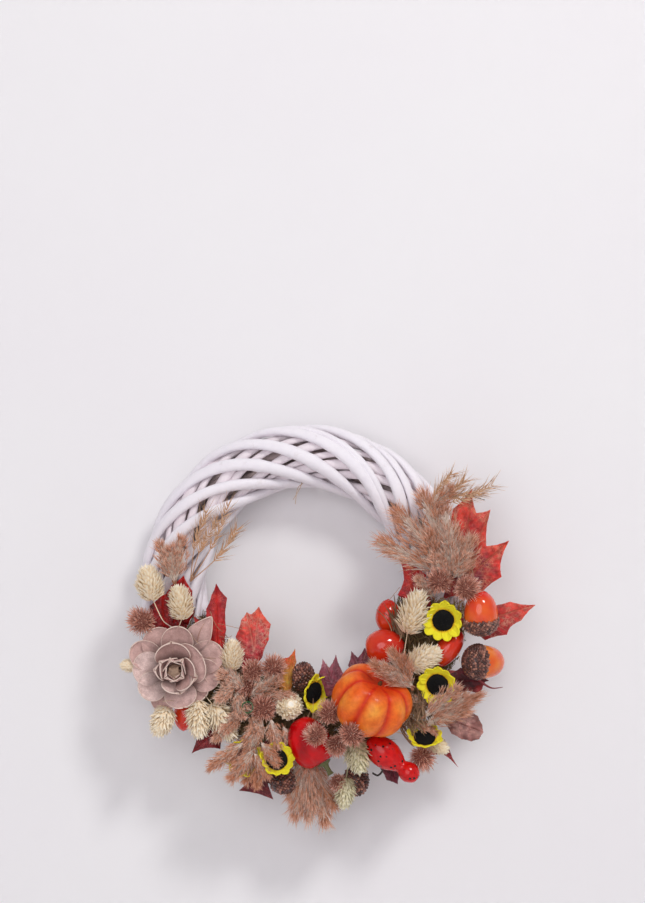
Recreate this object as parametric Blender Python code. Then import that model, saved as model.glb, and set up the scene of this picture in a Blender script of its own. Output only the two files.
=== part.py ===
"""Harvest door wreath: a woven willow ring dressed with autumn ornaments.

Metres, +Z up, as the wreath hangs on a door: +X to the right and -Y out of the door, towards
whoever looks at it. The origin is the point at the inner top of the ring where the door hook
carries it, so the ring hangs below it.

The ring is woven from rods. A bed of moss lies on its front, and the ornaments are laid on it
one after another, each pushed back until it meets what lies behind it, as a florist glues them.
"""

import math

import bpy
import numpy as np
from mathutils import Euler, Matrix, Vector

MM = 0.001

# Ring
RING_OUTER_RADIUS = 0.150
TUBE_RADIUS = 0.0305  # of the woven tube's round section
OUTER_ROD_RADIUS = 0.0046
INNER_ROD_RADIUS = 0.0036
CORE_ROD_RADIUS = 0.0038
OUTER_ROD_COUNT = 4
INNER_ROD_COUNT = 3
ROD_TWIST = 2.5  # turns about the tube for each loop of the ring, the inner rods the other way
CORE_TWIST = 0.5
ROD_LOOPS = 2  # so that each rod's tip comes back to its butt
ROD_TAPER = 0.12  # share of its radius that a rod loses from butt to tip
ROD_STEPS = 40  # for each loop
ROD_SIDES = 5
LAYER_GAP = 0.0014  # between the layers of rods, which also covers their facets
ROD_END_GAP = 0.006  # between a rod's two ends, where they are tucked in

# Bed of moss on the ring's front
BED_THICKNESS = 0.003
BED_FROM = -0.200  # along the ring from its lowest point, to the left
BED_TO = 0.200
BED_OUTER_EDGE = 12  # degrees round the tube from its outermost line, over the front
BED_INNER_EDGE = 168
BED_STRIPS = 6  # between those edges
BED_STEPS = 22  # along the ring

# Fruit
PUMPKIN_RADIUS = 0.037
PUMPKIN_HEIGHT = 0.058
PUMPKIN_LOBES = 8
PEPPER_RADIUS = 0.018
PEPPER_LENGTH = 0.052
PEPPER_STEM_FOOT = 0.0045
PEPPER_STEM_RADIUS = 0.0020
PEPPER_STEM_LENGTH = 0.011
GOURD_LENGTH = 0.058
GOURD_RADIUS = 0.0125
GOURD_NECK_RADIUS = 0.0060
GOURD_HEAD_RADIUS = 0.0084

# Flowers
PETAL_WALL = 0.0015
SUNFLOWER_RADIUS = 0.019
SUNFLOWER_CUP = 0.005  # how far the petals' tips stand out
SUNFLOWER_DISC_RADIUS = 0.0100
SUNFLOWER_DISC_HEIGHT = 0.005
SUNFLOWER_PETALS = 10
ROSE_RADIUS = 0.039
ROSE_CUP = 0.017
ROSE_PETALS = 8
ROSE_INNER_RADIUS = 0.023
ROSE_INNER_CUP = 0.014
ROSE_INNER_PETALS = 6
ROSE_NEST_GAP = 0.0009  # between the two cups on their axis
ROSE_BUD_RADIUS = 0.0075
ROSE_BUD_LENGTH = 0.017

# Nuts, leaves and grass
ACORN_NUT_RADIUS = 0.0130
ACORN_NUT_LENGTH = 0.038
ACORN_CAP_WALL = 0.0022
ACORN_CAP_DEPTH = 0.013
CONE_LENGTH = 0.028
LEAF_THICKNESS = 0.0012
STEM_RADIUS = 0.0012
BINDING_RADIUS = 0.0026
BINDING_LENGTH = 0.007

CLEARANCE = 0.0003
PROBE = 0.001  # spacing of the lines that probe how far back a piece can go
SLIVER = 1e-9  # area, in squares of that spacing, below which a face is seen edge on

RING_RADIUS = RING_OUTER_RADIUS - TUBE_RADIUS  # to the middle of the tube
RING_CENTRE_Z = TUBE_RADIUS - RING_RADIUS
OUTER_LAYER = TUBE_RADIUS - OUTER_ROD_RADIUS
INNER_LAYER = OUTER_LAYER - OUTER_ROD_RADIUS - INNER_ROD_RADIUS - LAYER_GAP
CORE_LAYER = INNER_LAYER - INNER_ROD_RADIUS - CORE_ROD_RADIUS - LAYER_GAP
BED_FRONT = TUBE_RADIUS + CLEARANCE + BED_THICKNESS
REACH = RING_OUTER_RADIUS + 0.120  # of the probing lines from the ring's middle

WHITE_PAINT = (0.86, 0.84, 0.86)
MOSS = (0.33, 0.27, 0.14)
MAUVE_WOOD = (0.62, 0.50, 0.48)
YELLOW_FELT = (0.93, 0.85, 0.12)
BLACK_FELT = (0.015, 0.013, 0.012)
ORANGE_SKIN = (0.90, 0.33, 0.05)
RED_GLOSS = (0.72, 0.03, 0.03)
RED_ORANGE = (0.80, 0.16, 0.05)
GREEN_STEM = (0.25, 0.33, 0.08)
BEADED_BROWN = (0.17, 0.10, 0.08)
LEAF_RED = (0.62, 0.07, 0.04)
LEAF_MAROON = (0.30, 0.04, 0.05)
LEAF_BROWN = (0.22, 0.09, 0.07)
CREAM_GRASS = (0.88, 0.80, 0.62)
BURR_BROWN = (0.45, 0.30, 0.24)
REED_TAN = (0.62, 0.42, 0.28)


def remove_scene_objects():
    for old in list(bpy.data.objects):
        bpy.data.objects.remove(old, do_unlink=True)


# ---- Making a solid ----------------------------------------------------------------------------


def make_object(name, points, faces, colour, roughness, sharp_degrees=50):
    """An object from points and faces, with its own material, shaded smooth but for its edges."""
    mesh = bpy.data.meshes.new(name)
    mesh.from_pydata([tuple(map(float, p)) for p in points], [], faces)
    mesh.shade_smooth()
    mesh.set_sharp_from_angle(angle=math.radians(sharp_degrees))
    material = bpy.data.materials.new(name)
    material.use_nodes = True
    shader = material.node_tree.nodes["Principled BSDF"]
    shader.inputs["Base Color"].default_value = (*colour, 1)
    shader.inputs["Roughness"].default_value = roughness
    shader.inputs["Metallic"].default_value = 0.0
    mesh.materials.append(material)
    obj = bpy.data.objects.new(name, mesh)
    bpy.context.scene.collection.objects.link(obj)
    return obj


def ring_faces(rings, sides):
    """The side faces between rings of points that follow one another, facing out."""
    faces = []
    for ring in range(rings - 1):
        for side in range(sides):
            after = (side + 1) % sides
            low, high = ring * sides, (ring + 1) * sides
            faces.append((low + side, low + after, high + after, high + side))
    return faces


def turned(name, profile, sides, colour, roughness, lobes=0, lobe_depth=0.0):
    """A solid turned about Z from (radius, height) points, from its lower pole to its upper.

    The first and last points are the poles. With lobes, each ring's radius dips lobe_depth of
    itself between them.
    """
    angles = np.arange(sides) * 2 * np.pi / sides
    wave = 1 - lobe_depth * (1 - np.abs(np.cos(lobes * angles / 2)))
    points = []
    for radius, height in profile[1:-1]:
        for angle, share in zip(angles, wave):
            points.append(
                (radius * share * math.cos(angle), radius * share * math.sin(angle), height)
            )
    faces = ring_faces(len(profile) - 2, sides)
    low, high = len(points), len(points) + 1
    points += [(0, 0, profile[0][1]), (0, 0, profile[-1][1])]
    last = (len(profile) - 3) * sides
    for side in range(sides):
        after = (side + 1) % sides
        faces.append((low, after, side))
        faces.append((high, last + side, last + after))
    return make_object(name, points, faces, colour, roughness)


def spindle_profile(length, radius, rings=5, fullness=0.6, waist=0.5):
    """Profile of a spindle about its middle. waist is where along it the thickest place lies."""
    profile = []
    for step in range(rings + 1):
        share = step / rings
        bent = share ** (math.log(0.5) / math.log(waist))
        profile.append((radius * math.sin(math.pi * bent) ** fullness, (share - 0.5) * length))
    return profile


def tube(name, path, radii, sides, colour, roughness):
    """A closed tube along a list of points, with flat ends."""
    points = []
    count = len(path)
    for index, centre in enumerate(path):
        ahead = path[min(index + 1, count - 1)] - path[max(index - 1, 0)]
        ahead.normalize()
        across = ahead.cross(Vector((0, 1, 0))).normalized()
        up = across.cross(ahead)
        for side in range(sides):
            angle = 2 * math.pi * side / sides
            offset = across * math.cos(angle) - up * math.sin(angle)
            points.append(centre + offset * radii[index])
    faces = ring_faces(count, sides)
    faces.append(tuple(reversed(range(sides))))
    faces.append(tuple(range((count - 1) * sides, count * sides)))
    return make_object(name, points, faces, colour, roughness)


def joined(name, parts):
    """One solid from parts that overlap, by a Boolean union. The parts are used up."""
    base, rest = parts[0], parts[1:]
    cutters = bpy.data.collections.new(name + "_cutters")
    bpy.context.scene.collection.children.link(cutters)
    for part in rest:
        cutters.objects.link(part)
    union = base.modifiers.new("Union", "BOOLEAN")
    union.operation = "UNION"
    union.operand_type = "COLLECTION"
    union.collection = cutters
    bpy.context.view_layer.update()
    evaluated = base.evaluated_get(bpy.context.evaluated_depsgraph_get())
    mesh = bpy.data.meshes.new_from_object(evaluated)
    mesh.transform(base.matrix_world)
    result = bpy.data.objects.new(name, mesh)
    for part in parts:
        bpy.data.objects.remove(part, do_unlink=True)
    bpy.data.collections.remove(cutters)
    bpy.context.scene.collection.objects.link(result)
    result.name = name
    return result


# ---- Placing it ----------------------------------------------------------------------------------


def turn_to(clock, rise, roll=0.0):
    """Rotation that takes local +Z to a clock direction, in degrees from straight up towards the
    right, raised by rise degrees out of the door, after a roll about local Z."""
    return (
        Euler((0, math.radians(clock), 0)).to_matrix()
        @ Euler((math.radians(rise), 0, 0)).to_matrix()
        @ Euler((0, 0, math.radians(roll))).to_matrix()
    )


def station(along, out):
    """A place in the plane of the ring, in millimetres: along its middle line from its lowest
    point, positive to the right, then out from the tube's middle."""
    angle = along * MM / RING_RADIUS
    radius = RING_RADIUS + out * MM
    return Vector((radius * math.sin(angle), 0, RING_CENTRE_Z - radius * math.cos(angle)))


def world_triangles(obj):
    obj.data.calc_loop_triangles()
    matrix = Matrix.LocRotScale(obj.location, obj.rotation_euler, None)
    points = np.array([matrix @ v.co for v in obj.data.vertices])
    return points[np.array([t.vertices for t in obj.data.loop_triangles])]


class Heap:
    """How far forward the ring and the pieces laid on it reach, on a grid of lines along Y."""

    def __init__(self):
        cells = int(2 * REACH / PROBE) + 1
        self.front = np.full((cells, cells), np.inf)

    def depths(self, obj):
        """For each line, the least and the greatest y where it passes through the solid."""
        least = np.full_like(self.front, np.inf)
        greatest = np.full_like(self.front, -np.inf)
        for corners in world_triangles(obj):
            grid = (corners[:, [0, 2]] - [-REACH, RING_CENTRE_Z - REACH]) / PROBE
            low = np.floor(grid.min(axis=0)).astype(int)
            high = np.ceil(grid.max(axis=0)).astype(int) + 1
            (ax, az), (bx, bz), (cx, cz) = grid
            area = (bx - ax) * (cz - az) - (cx - ax) * (bz - az)
            if abs(area) < SLIVER:
                continue
            x, z = np.meshgrid(
                np.arange(low[0], high[0]), np.arange(low[1], high[1]), indexing="ij"
            )
            b = ((x - ax) * (cz - az) - (cx - ax) * (z - az)) / area
            c = ((bx - ax) * (z - az) - (x - ax) * (bz - az)) / area
            inside = (b >= 0) & (c >= 0) & (b + c <= 1)
            y = corners[0, 1] + b * (corners[1, 1] - corners[0, 1])
            y += c * (corners[2, 1] - corners[0, 1])
            window = (slice(low[0], high[0]), slice(low[1], high[1]))
            least[window] = np.where(inside, np.minimum(least[window], y), least[window])
            greatest[window] = np.where(
                inside, np.maximum(greatest[window], y), greatest[window]
            )
        return least, greatest

    def add(self, obj):
        self.front = np.minimum(self.front, self.depths(obj)[0])

    def widened(self):
        """The heap with each line as far forward as its eight neighbours, so that a piece also
        keeps clear sideways."""
        wide = self.front.copy()
        for x in (-1, 0, 1):
            for z in (-1, 0, 1):
                wide = np.minimum(wide, np.roll(self.front, (x, z), axis=(0, 1)))
        return wide

    def lay(self, pieces, at, turn=None, lift=None):
        """Turns the pieces of one ornament, puts them at a station and pushes them back until
        they meet the heap. With lift, they stay at least that many millimetres in front of the
        bed, for an ornament that reaches past the ring."""
        room = np.inf
        for piece in pieces:
            if turn is not None:
                piece.location = turn @ piece.location
                piece.rotation_euler = turn.to_euler()
            piece.location += at
            behind = self.widened() - self.depths(piece)[1]
            room = min(room, np.nanmin(np.where(np.isfinite(behind), behind, np.inf)))
        y = room - CLEARANCE
        if lift is not None:
            y = min(y, -(BED_FRONT + lift * MM))
        for piece in pieces:
            piece.location.y += y
            self.add(piece)


# ---- The ring ------------------------------------------------------------------------------------


def rod(name, layer, radius, first_angle, twist, start):
    """A rod wound round the tube at a layer's radius while it goes round the ring.

    twist is how many turns about the tube it makes in one loop of the ring, positive from the
    outer edge over the front to the inner edge as it goes clockwise. It ends where it began,
    short of its own butt by the end gap, and thins a little towards its tip.
    """
    whole = 2 * math.pi * ROD_LOOPS
    steps = ROD_STEPS * ROD_LOOPS
    gap = ROD_END_GAP / (RING_RADIUS + layer)
    path, radii = [], []
    for step in range(steps + 1):
        share = step / steps
        turn = gap / 2 + share * (whole - gap)
        around = start + turn
        section = first_angle + twist * turn
        reach = RING_RADIUS + layer * math.cos(section)
        path.append(
            Vector(
                (
                    -reach * math.sin(around),
                    -layer * math.sin(section),
                    RING_CENTRE_Z - reach * math.cos(around),
                )
            )
        )
        radii.append(radius * (1 - ROD_TAPER * share))
    return tube(name, path, radii, ROD_SIDES, WHITE_PAINT, 0.45)


def woven_ring():
    """The outer rods, the inner rods that cross under them, and the hoop that both are wound on.

    A cross-section of the ring cuts each rod once a loop, at even angles round the tube, and the
    rods start at different places round the ring."""
    rods = []
    for index in range(OUTER_ROD_COUNT):
        start = math.radians(12 * (index - 2))
        section = 2 * math.pi * index / (ROD_LOOPS * OUTER_ROD_COUNT) + ROD_TWIST * start
        rods.append(
            rod(
                f"outer_rod_{index + 1}", OUTER_LAYER, OUTER_ROD_RADIUS, section, ROD_TWIST, start
            )
        )
    for index in range(INNER_ROD_COUNT):
        start = math.radians(20 * (index - 1))
        section = 2 * math.pi * index / (ROD_LOOPS * INNER_ROD_COUNT) - ROD_TWIST * start
        rods.append(
            rod(
                f"inner_rod_{index + 1}", INNER_LAYER, INNER_ROD_RADIUS, section, -ROD_TWIST, start
            )
        )
    rods.append(rod("core_hoop", CORE_LAYER, CORE_ROD_RADIUS, 0.5, CORE_TWIST, 0.2))
    return rods


def moss_bed():
    """A band of moss over the tube's front, between two places along the ring. Its flats lie
    outside the round tube, so it is made a little wider than the tube by their rise."""
    flat = math.radians(BED_INNER_EDGE - BED_OUTER_EDGE) / BED_STRIPS / 2
    bend = (BED_TO - BED_FROM) / RING_RADIUS / BED_STEPS / 2
    inner = (TUBE_RADIUS + CLEARANCE) / math.cos(flat) + 2 * RING_RADIUS * (1 - math.cos(bend))
    spread = np.radians(np.linspace(BED_OUTER_EDGE, BED_INNER_EDGE, BED_STRIPS + 1))
    points = []
    for step in range(BED_STEPS + 1):
        around = (BED_FROM + (BED_TO - BED_FROM) * step / BED_STEPS) / RING_RADIUS
        band = [(inner, section) for section in spread]
        band += [(inner + BED_THICKNESS, section) for section in reversed(spread)]
        for layer, section in band:
            reach = RING_RADIUS + layer * math.cos(section)
            points.append(
                (
                    reach * math.sin(around),
                    -layer * math.sin(section),
                    RING_CENTRE_Z - reach * math.cos(around),
                )
            )
    sides = 2 * len(spread)
    faces = ring_faces(BED_STEPS + 1, sides)
    faces.append(tuple(reversed(range(sides))))
    faces.append(tuple(range(BED_STEPS * sides, (BED_STEPS + 1) * sides)))
    return make_object("moss_bed", points, faces, MOSS, 0.95)


# ---- Flowers -------------------------------------------------------------------------------------


def whorl(name, lobes, radius, rise, dip, colour, hub=0.2, per_lobe=3, middle=0.6):
    """Petals in one piece: a lobed cup with a wall, its hub at the origin and its rim at rise."""
    sides = lobes * per_lobe
    lobe = np.array([1.0 if step % per_lobe else 1.0 - dip for step in range(sides)])
    points = []
    for offset in (0.0, -PETAL_WALL):
        points.append((0, 0, offset))
        for share in (hub, middle, 1.0):
            reach = radius * share * (1 if share < 1 else lobe)
            reach = np.broadcast_to(reach, sides)
            for side in range(sides):
                angle = 2 * math.pi * side / sides
                height = rise * share**2 + offset
                points.append(
                    (reach[side] * math.cos(angle), reach[side] * math.sin(angle), height)
                )
    upper, lower, rings = 0, 1 + 3 * sides, 3
    faces = []
    for side in range(sides):
        after = (side + 1) % sides
        faces.append((upper, upper + 1 + side, upper + 1 + after))
        faces.append((lower, lower + 1 + after, lower + 1 + side))
        for ring in range(rings - 1):
            near, far = 1 + ring * sides, 1 + (ring + 1) * sides
            corners = (near + side, far + side, far + after, near + after)
            faces.append(tuple(upper + corner for corner in corners))
            faces.append(tuple(lower + corner for corner in reversed(corners)))
        rim = 1 + (rings - 1) * sides
        a, b = rim + side, rim + after
        faces.append((upper + a, lower + a, lower + b, upper + b))
    return make_object(name, points, faces, colour, 0.8)


def sunflower(number, radius=SUNFLOWER_RADIUS):
    """A petal piece with a domed black disc on its middle."""
    petals = whorl(
        f"sunflower_{number}_petals",
        SUNFLOWER_PETALS,
        radius,
        SUNFLOWER_CUP,
        0.16,
        YELLOW_FELT,
        hub=0.3,
    )
    seat = SUNFLOWER_CUP * (SUNFLOWER_DISC_RADIUS / radius) ** 2 + CLEARANCE
    disc = turned(
        f"sunflower_{number}_disc",
        [
            (0, seat),
            (0.85 * SUNFLOWER_DISC_RADIUS, seat + 0.12 * SUNFLOWER_DISC_HEIGHT),
            (SUNFLOWER_DISC_RADIUS, seat + 0.36 * SUNFLOWER_DISC_HEIGHT),
            (0.6 * SUNFLOWER_DISC_RADIUS, seat + 0.84 * SUNFLOWER_DISC_HEIGHT),
            (0, seat + SUNFLOWER_DISC_HEIGHT),
        ],
        12,
        BLACK_FELT,
        0.95,
    )
    return petals, disc


def rose():
    """Outer petals, inner petals and a bud, one cup inside the other."""
    outer = whorl("rose_outer_petals", ROSE_PETALS, ROSE_RADIUS, ROSE_CUP, 0.14, MAUVE_WOOD)
    inner = whorl(
        "rose_inner_petals", ROSE_INNER_PETALS, ROSE_INNER_RADIUS, ROSE_INNER_CUP, 0.14, MAUVE_WOOD
    )
    nest = PETAL_WALL + ROSE_NEST_GAP
    for vertex in inner.data.vertices:
        vertex.co.z += nest
    bud = turned(
        "rose_bud",
        spindle_profile(ROSE_BUD_LENGTH, ROSE_BUD_RADIUS, rings=5, fullness=0.7),
        8,
        MAUVE_WOOD,
        0.8,
    )
    for vertex in bud.data.vertices:
        vertex.co.z += nest + CLEARANCE + ROSE_BUD_LENGTH / 2
    return outer, inner, bud


# ---- Fruit, nuts and cones -----------------------------------------------------------------------


def pumpkin():
    """A squat ball with lobes, dimpled at both poles."""
    half = PUMPKIN_HEIGHT / 2
    profile = [(0, -0.80 * half)]
    for degrees in (-70, -45, -20, 5, 30, 52, 72):
        angle = math.radians(degrees)
        profile.append((PUMPKIN_RADIUS * math.cos(angle) ** 0.8, half * math.sin(angle)))
    profile.append((0, 0.72 * half))
    return turned("pumpkin", profile, 4 * PUMPKIN_LOBES, ORANGE_SKIN, 0.35, PUMPKIN_LOBES, 0.10)


def pepper():
    """A glossy heart-shaped fruit and the green stem that stands in its crown."""
    half = PEPPER_LENGTH / 2
    body = turned(
        "red_pepper",
        [
            (0, -half),
            (0.45 * PEPPER_RADIUS, -0.92 * half),
            (0.85 * PEPPER_RADIUS, -0.50 * half),
            (PEPPER_RADIUS, 0.15 * half),
            (0.92 * PEPPER_RADIUS, 0.62 * half),
            (0.55 * PEPPER_RADIUS, 0.96 * half),
            (0, 0.90 * half),
        ],
        12,
        RED_GLOSS,
        0.18,
        lobes=3,
        lobe_depth=0.12,
    )
    foot = 0.93 * half + CLEARANCE
    stem = turned(
        "red_pepper_stem",
        [
            (0, foot),
            (PEPPER_STEM_FOOT, foot + 0.04 * PEPPER_STEM_LENGTH),
            (PEPPER_STEM_RADIUS, foot + 0.27 * PEPPER_STEM_LENGTH),
            (0.9 * PEPPER_STEM_RADIUS, foot + 0.91 * PEPPER_STEM_LENGTH),
            (0, foot + PEPPER_STEM_LENGTH),
        ],
        8,
        GREEN_STEM,
        0.6,
    )
    return body, stem


def spotted_gourd():
    """Two balls on one axis with a neck between them."""
    half = GOURD_LENGTH / 2
    return turned(
        "spotted_gourd",
        [
            (0, -half),
            (0.64 * GOURD_RADIUS, -0.88 * half),
            (GOURD_RADIUS, -0.50 * half),
            (GOURD_RADIUS, -0.10 * half),
            (0.68 * GOURD_RADIUS, 0.25 * half),
            (GOURD_NECK_RADIUS, 0.37 * half),
            (GOURD_HEAD_RADIUS, 0.57 * half),
            (GOURD_HEAD_RADIUS, 0.76 * half),
            (0.54 * GOURD_HEAD_RADIUS, 0.96 * half),
            (0, half),
        ],
        10,
        RED_GLOSS,
        0.22,
    )


def acorn(number):
    """A nut that stands in a hollow cap. Local +Z points from the cap to the nut's tip."""
    r, length = ACORN_NUT_RADIUS, ACORN_NUT_LENGTH
    nut = turned(
        f"acorn_{number}_nut",
        [
            (0, 0.0),
            (0.70 * r, 0.04 * length),
            (0.97 * r, 0.22 * length),
            (r, 0.42 * length),
            (0.86 * r, 0.68 * length),
            (0.52 * r, 0.89 * length),
            (0.14 * r, 0.98 * length),
            (0, length),
        ],
        12,
        RED_ORANGE,
        0.12,
    )
    inner = r + CLEARANCE
    outer = inner + ACORN_CAP_WALL
    floor = -2 * CLEARANCE
    cap = turned(
        f"acorn_{number}_cap",
        [
            (0, floor - ACORN_CAP_WALL),
            (0.62 * outer, floor - 0.8 * ACORN_CAP_WALL),
            (0.95 * outer, 0.28 * ACORN_CAP_DEPTH),
            (outer, ACORN_CAP_DEPTH),
            (inner + CLEARANCE, ACORN_CAP_DEPTH),
            (inner + CLEARANCE, 0.60 * ACORN_CAP_DEPTH),
            (0.98 * inner, 0.16 * ACORN_CAP_DEPTH),
            (0.72 * inner, floor),
            (0, floor),
        ],
        12,
        BEADED_BROWN,
        0.8,
    )
    return nut, cap


def nut(number, length, radius, colour):
    """A smooth glossy nut with a small point."""
    return turned(
        f"glossy_nut_{number}",
        spindle_profile(length, radius, rings=6, fullness=0.55),
        10,
        colour,
        0.12,
    )


def cone(number, radius):
    """A small beaded cone, thickest below its middle."""
    return turned(
        f"small_cone_{number}",
        spindle_profile(CONE_LENGTH, radius, rings=5, fullness=0.55, waist=0.42),
        9,
        BEADED_BROWN,
        0.7,
    )


# ---- Leaves --------------------------------------------------------------------------------------


def leaf(name, outline, stalk_end, colour, roughness=0.5, bulge=2.0):
    """A thin leaf as a fan about the joint of its stalk, which is the origin and stands bulge
    millimetres proud. The outline's points, and the stalk's end, are in millimetres from the
    joint, right and up, and are taken in the order of their directions."""
    x, z = stalk_end
    reach = math.hypot(x, z)
    side = (-z / reach * STEM_RADIUS / MM, x / reach * STEM_RADIUS / MM)
    edge = [*outline, (x - side[0], z - side[1]), (x + side[0], z + side[1])]
    edge.sort(key=lambda point: math.atan2(point[1], point[0]))
    thick = LEAF_THICKNESS / 2
    points = [(0, -bulge * MM - thick, 0), (0, -bulge * MM + thick, 0)]
    for depth in (-thick, thick):
        points += [(right * MM, depth, up * MM) for right, up in edge]
    count = len(edge)
    faces = []
    for here in range(count):
        after = (here + 1) % count
        faces.append((0, 2 + here, 2 + after))
        faces.append((1, 2 + count + after, 2 + count + here))
        faces.append((2 + here, 2 + count + here, 2 + count + after, 2 + after))
    return make_object(name, points, faces, colour, roughness, sharp_degrees=60)


# ---- Dried grass and burrs -----------------------------------------------------------------------


def bunch(name, heads, binding, colour, fullness=0.6, waist=0.5):
    """Heads on stems that are bound at one place, as a single solid.

    Each head is (across, up, forward, length, width, clock) in millimetres and degrees. Across
    and up are measured from the ring's middle, as the binding's are, and forward from the binding.
    """
    parts = [
        turned(
            name + "_binding",
            spindle_profile(BINDING_LENGTH, BINDING_RADIUS, rings=4),
            6,
            colour,
            0.9,
        )
    ]
    for across, up, forward, length, width, clock in heads:
        centre = Vector((across - binding[0], -forward, up - binding[1])) * MM
        head = turned(
            name + "_head",
            spindle_profile(length * MM, width * MM / 2, fullness=fullness, waist=waist),
            7,
            colour,
            0.9,
        )
        head.rotation_euler = turn_to(clock, 0).to_euler()
        head.location = centre
        parts.append(head)
        if centre.length > BINDING_LENGTH / 2:
            stem = turned(
                name + "_stem",
                [
                    (0, 0),
                    (STEM_RADIUS, 0.1 * STEM_RADIUS),
                    (STEM_RADIUS, centre.length - 0.1 * STEM_RADIUS),
                    (0, centre.length),
                ],
                5,
                colour,
                0.9,
            )
            stem_clock = math.degrees(math.atan2(centre.x, centre.z))
            stem_rise = math.degrees(math.asin(-centre.y / centre.length))
            stem.rotation_euler = turn_to(stem_clock, stem_rise).to_euler()
            parts.append(stem)
    return joined(name, parts)


# ---- The whole wreath ----------------------------------------------------------------------------

GRASS_LOWER_LEFT = (-101, 19)  # where that grass is bound, which also holds the nut below it


def lay_leaves(heap):
    """The lowest leaves first. Each has its stalk's end, in millimetres from its joint, on the
    ring."""
    right = [(-8, 4), (6, 15), (31, 19), (54, 16), (41, 2), (31, -4), (28, -11), (8, -16)]
    heap.lay(
        [leaf("maple_leaf_right", right, (-24, 6), LEAF_RED)], station(164, 40), lift=-6
    )
    tall = [
        (-6, -12), (-13, 20), (-15, 47), (-8, 67), (9, 85), (13, 63), (26, 66), (22, 33), (43, 38),
        (35, 17), (36, 5), (18, -9),
    ]
    heap.lay(
        [leaf("maple_leaf_upper_right", tall, (-16, -14), LEAF_RED)], station(192, 24), lift=-3
    )
    inner = [(-2, -9), (-11, -2), (-19, 5), (-13, 19), (-18, 40), (-5, 35), (7, 23), (11, 0)]
    heap.lay(
        [leaf("maple_leaf_inner_right", inner, (12, -12), LEAF_RED)], station(175, -15), lift=0
    )
    maroon = [(-5, 8), (16, 8), (31, -2), (26, -15), (15, -11), (3, -17), (-6, -9)]
    heap.lay([leaf("maroon_leaf", maroon, (-18, 6), LEAF_MAROON)], station(122, 38), lift=-4)
    spike = [(19, -20), (11, -4), (7, 5), (-4, -9), (5, -8)]
    heap.lay(
        [leaf("maple_leaf_spike", spike, (-34, 34), LEAF_RED)], station(84, 68), lift=-10
    )
    brown = [(-7, 8), (6, 5), (18, -6), (8, -13), (-5, -8)]
    heap.lay([leaf("brown_leaf", brown, (-30, 22), LEAF_BROWN, 0.25)], station(102, 69), lift=-2)
    star = [(9, -25), (4, -10), (-22, -17), (-11, -5), (-16, 5), (18, 3), (21, -9), (12, -13)]
    heap.lay([leaf("star_leaf", star, (4, 30), LEAF_MAROON)], station(-26, 52), lift=-6)
    first = [
        (-1, 58), (9, 45), (8, 16), (7, -6), (-19, 11), (-22, 29), (-11, 22), (-10, 35), (-5, 48)
    ]
    heap.lay([leaf("maple_leaf_left", first, (-8, -14), LEAF_RED)], station(-116, -24), lift=0)
    second = [
        (4, 41), (15, 25), (13, 11), (7, -5), (-15, -3), (-17, 14), (-12, 29), (-7, 36), (-3, 34)
    ]
    heap.lay([leaf("maple_leaf_inner_left", second, (-8, -30), LEAF_RED)], station(-79, -46))
    third = [(9, 36), (10, 24), (7, 7), (5, -8), (-8, 7), (-4, 27), (3, 28)]
    heap.lay([leaf("maple_leaf_bottom", third, (-2, -14), LEAF_RED)], station(-22, -27), lift=0)
    curled = [(7, 39), (15, 25), (17, 5), (9, -11), (-18, -2), (-15, 16), (-4, 30)]
    heap.lay(
        [leaf("curled_red_leaf", curled, (-8, -18), RED_GLOSS, 0.2)], station(-160, 0), lift=0
    )


def lay_nuts(heap):
    heap.lay([nut(1, 0.030, 0.011, RED_GLOSS)], station(150, -39), turn_to(0, 0), lift=-6)
    heap.lay([nut(2, 0.036, 0.0145, RED_GLOSS)], station(113, -29), turn_to(80, 10))
    heap.lay([nut(3, 0.038, 0.010, RED_ORANGE)], station(140, 22), turn_to(40, 0))
    under_grass = station(*GRASS_LOWER_LEFT) + Vector((-4.8, 0, -23.7)) * MM
    heap.lay([nut(4, 0.030, 0.010, RED_ORANGE)], under_grass, turn_to(185, 0), lift=-6)
    heap.lay(acorn(1), station(159, 46), turn_to(-2, 10), lift=4)
    heap.lay(acorn(2), station(138, 44), turn_to(93, -34), lift=8)
    heap.lay([cone(1, 0.010)], station(-1, -39), turn_to(0, 20), lift=-2)
    heap.lay([cone(2, 0.012)], station(32, 62), turn_to(180, 20), lift=-6)


def lay_reeds(heap):
    sprays = [(-78, 58, 0, 42, 14, 38), (-73, 36, 0, 44, 16, 39)]
    heap.lay([bunch("oat_spray_left", sprays, (-103, 6), REED_TAN)], station(-195, -16), lift=2)
    plumes = [
        (132, 34, 2, 54, 26, 0),
        (150, 88, 0, 60, 14, 76),
        (88, 31, 0, 46, 16, -72),
        (104, 57, 0, 48, 16, -58),
    ]
    heap.lay([bunch("reed_bunch_right", plumes, (134, 14), REED_TAN)], station(198, 15), lift=2)
    fan = [(140, -112, 0, 54, 22, 73)]
    heap.lay([bunch("reed_plume_right", fan, (105, -108), REED_TAN)], station(92, 31), lift=-2)
    fan = [(9, -198, 0, 62, 36, 170)]
    bottom = bunch("reed_plume_bottom", fan, (2, -144), REED_TAN, waist=0.6)
    heap.lay([bottom], station(2, 25), lift=-2)


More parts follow.
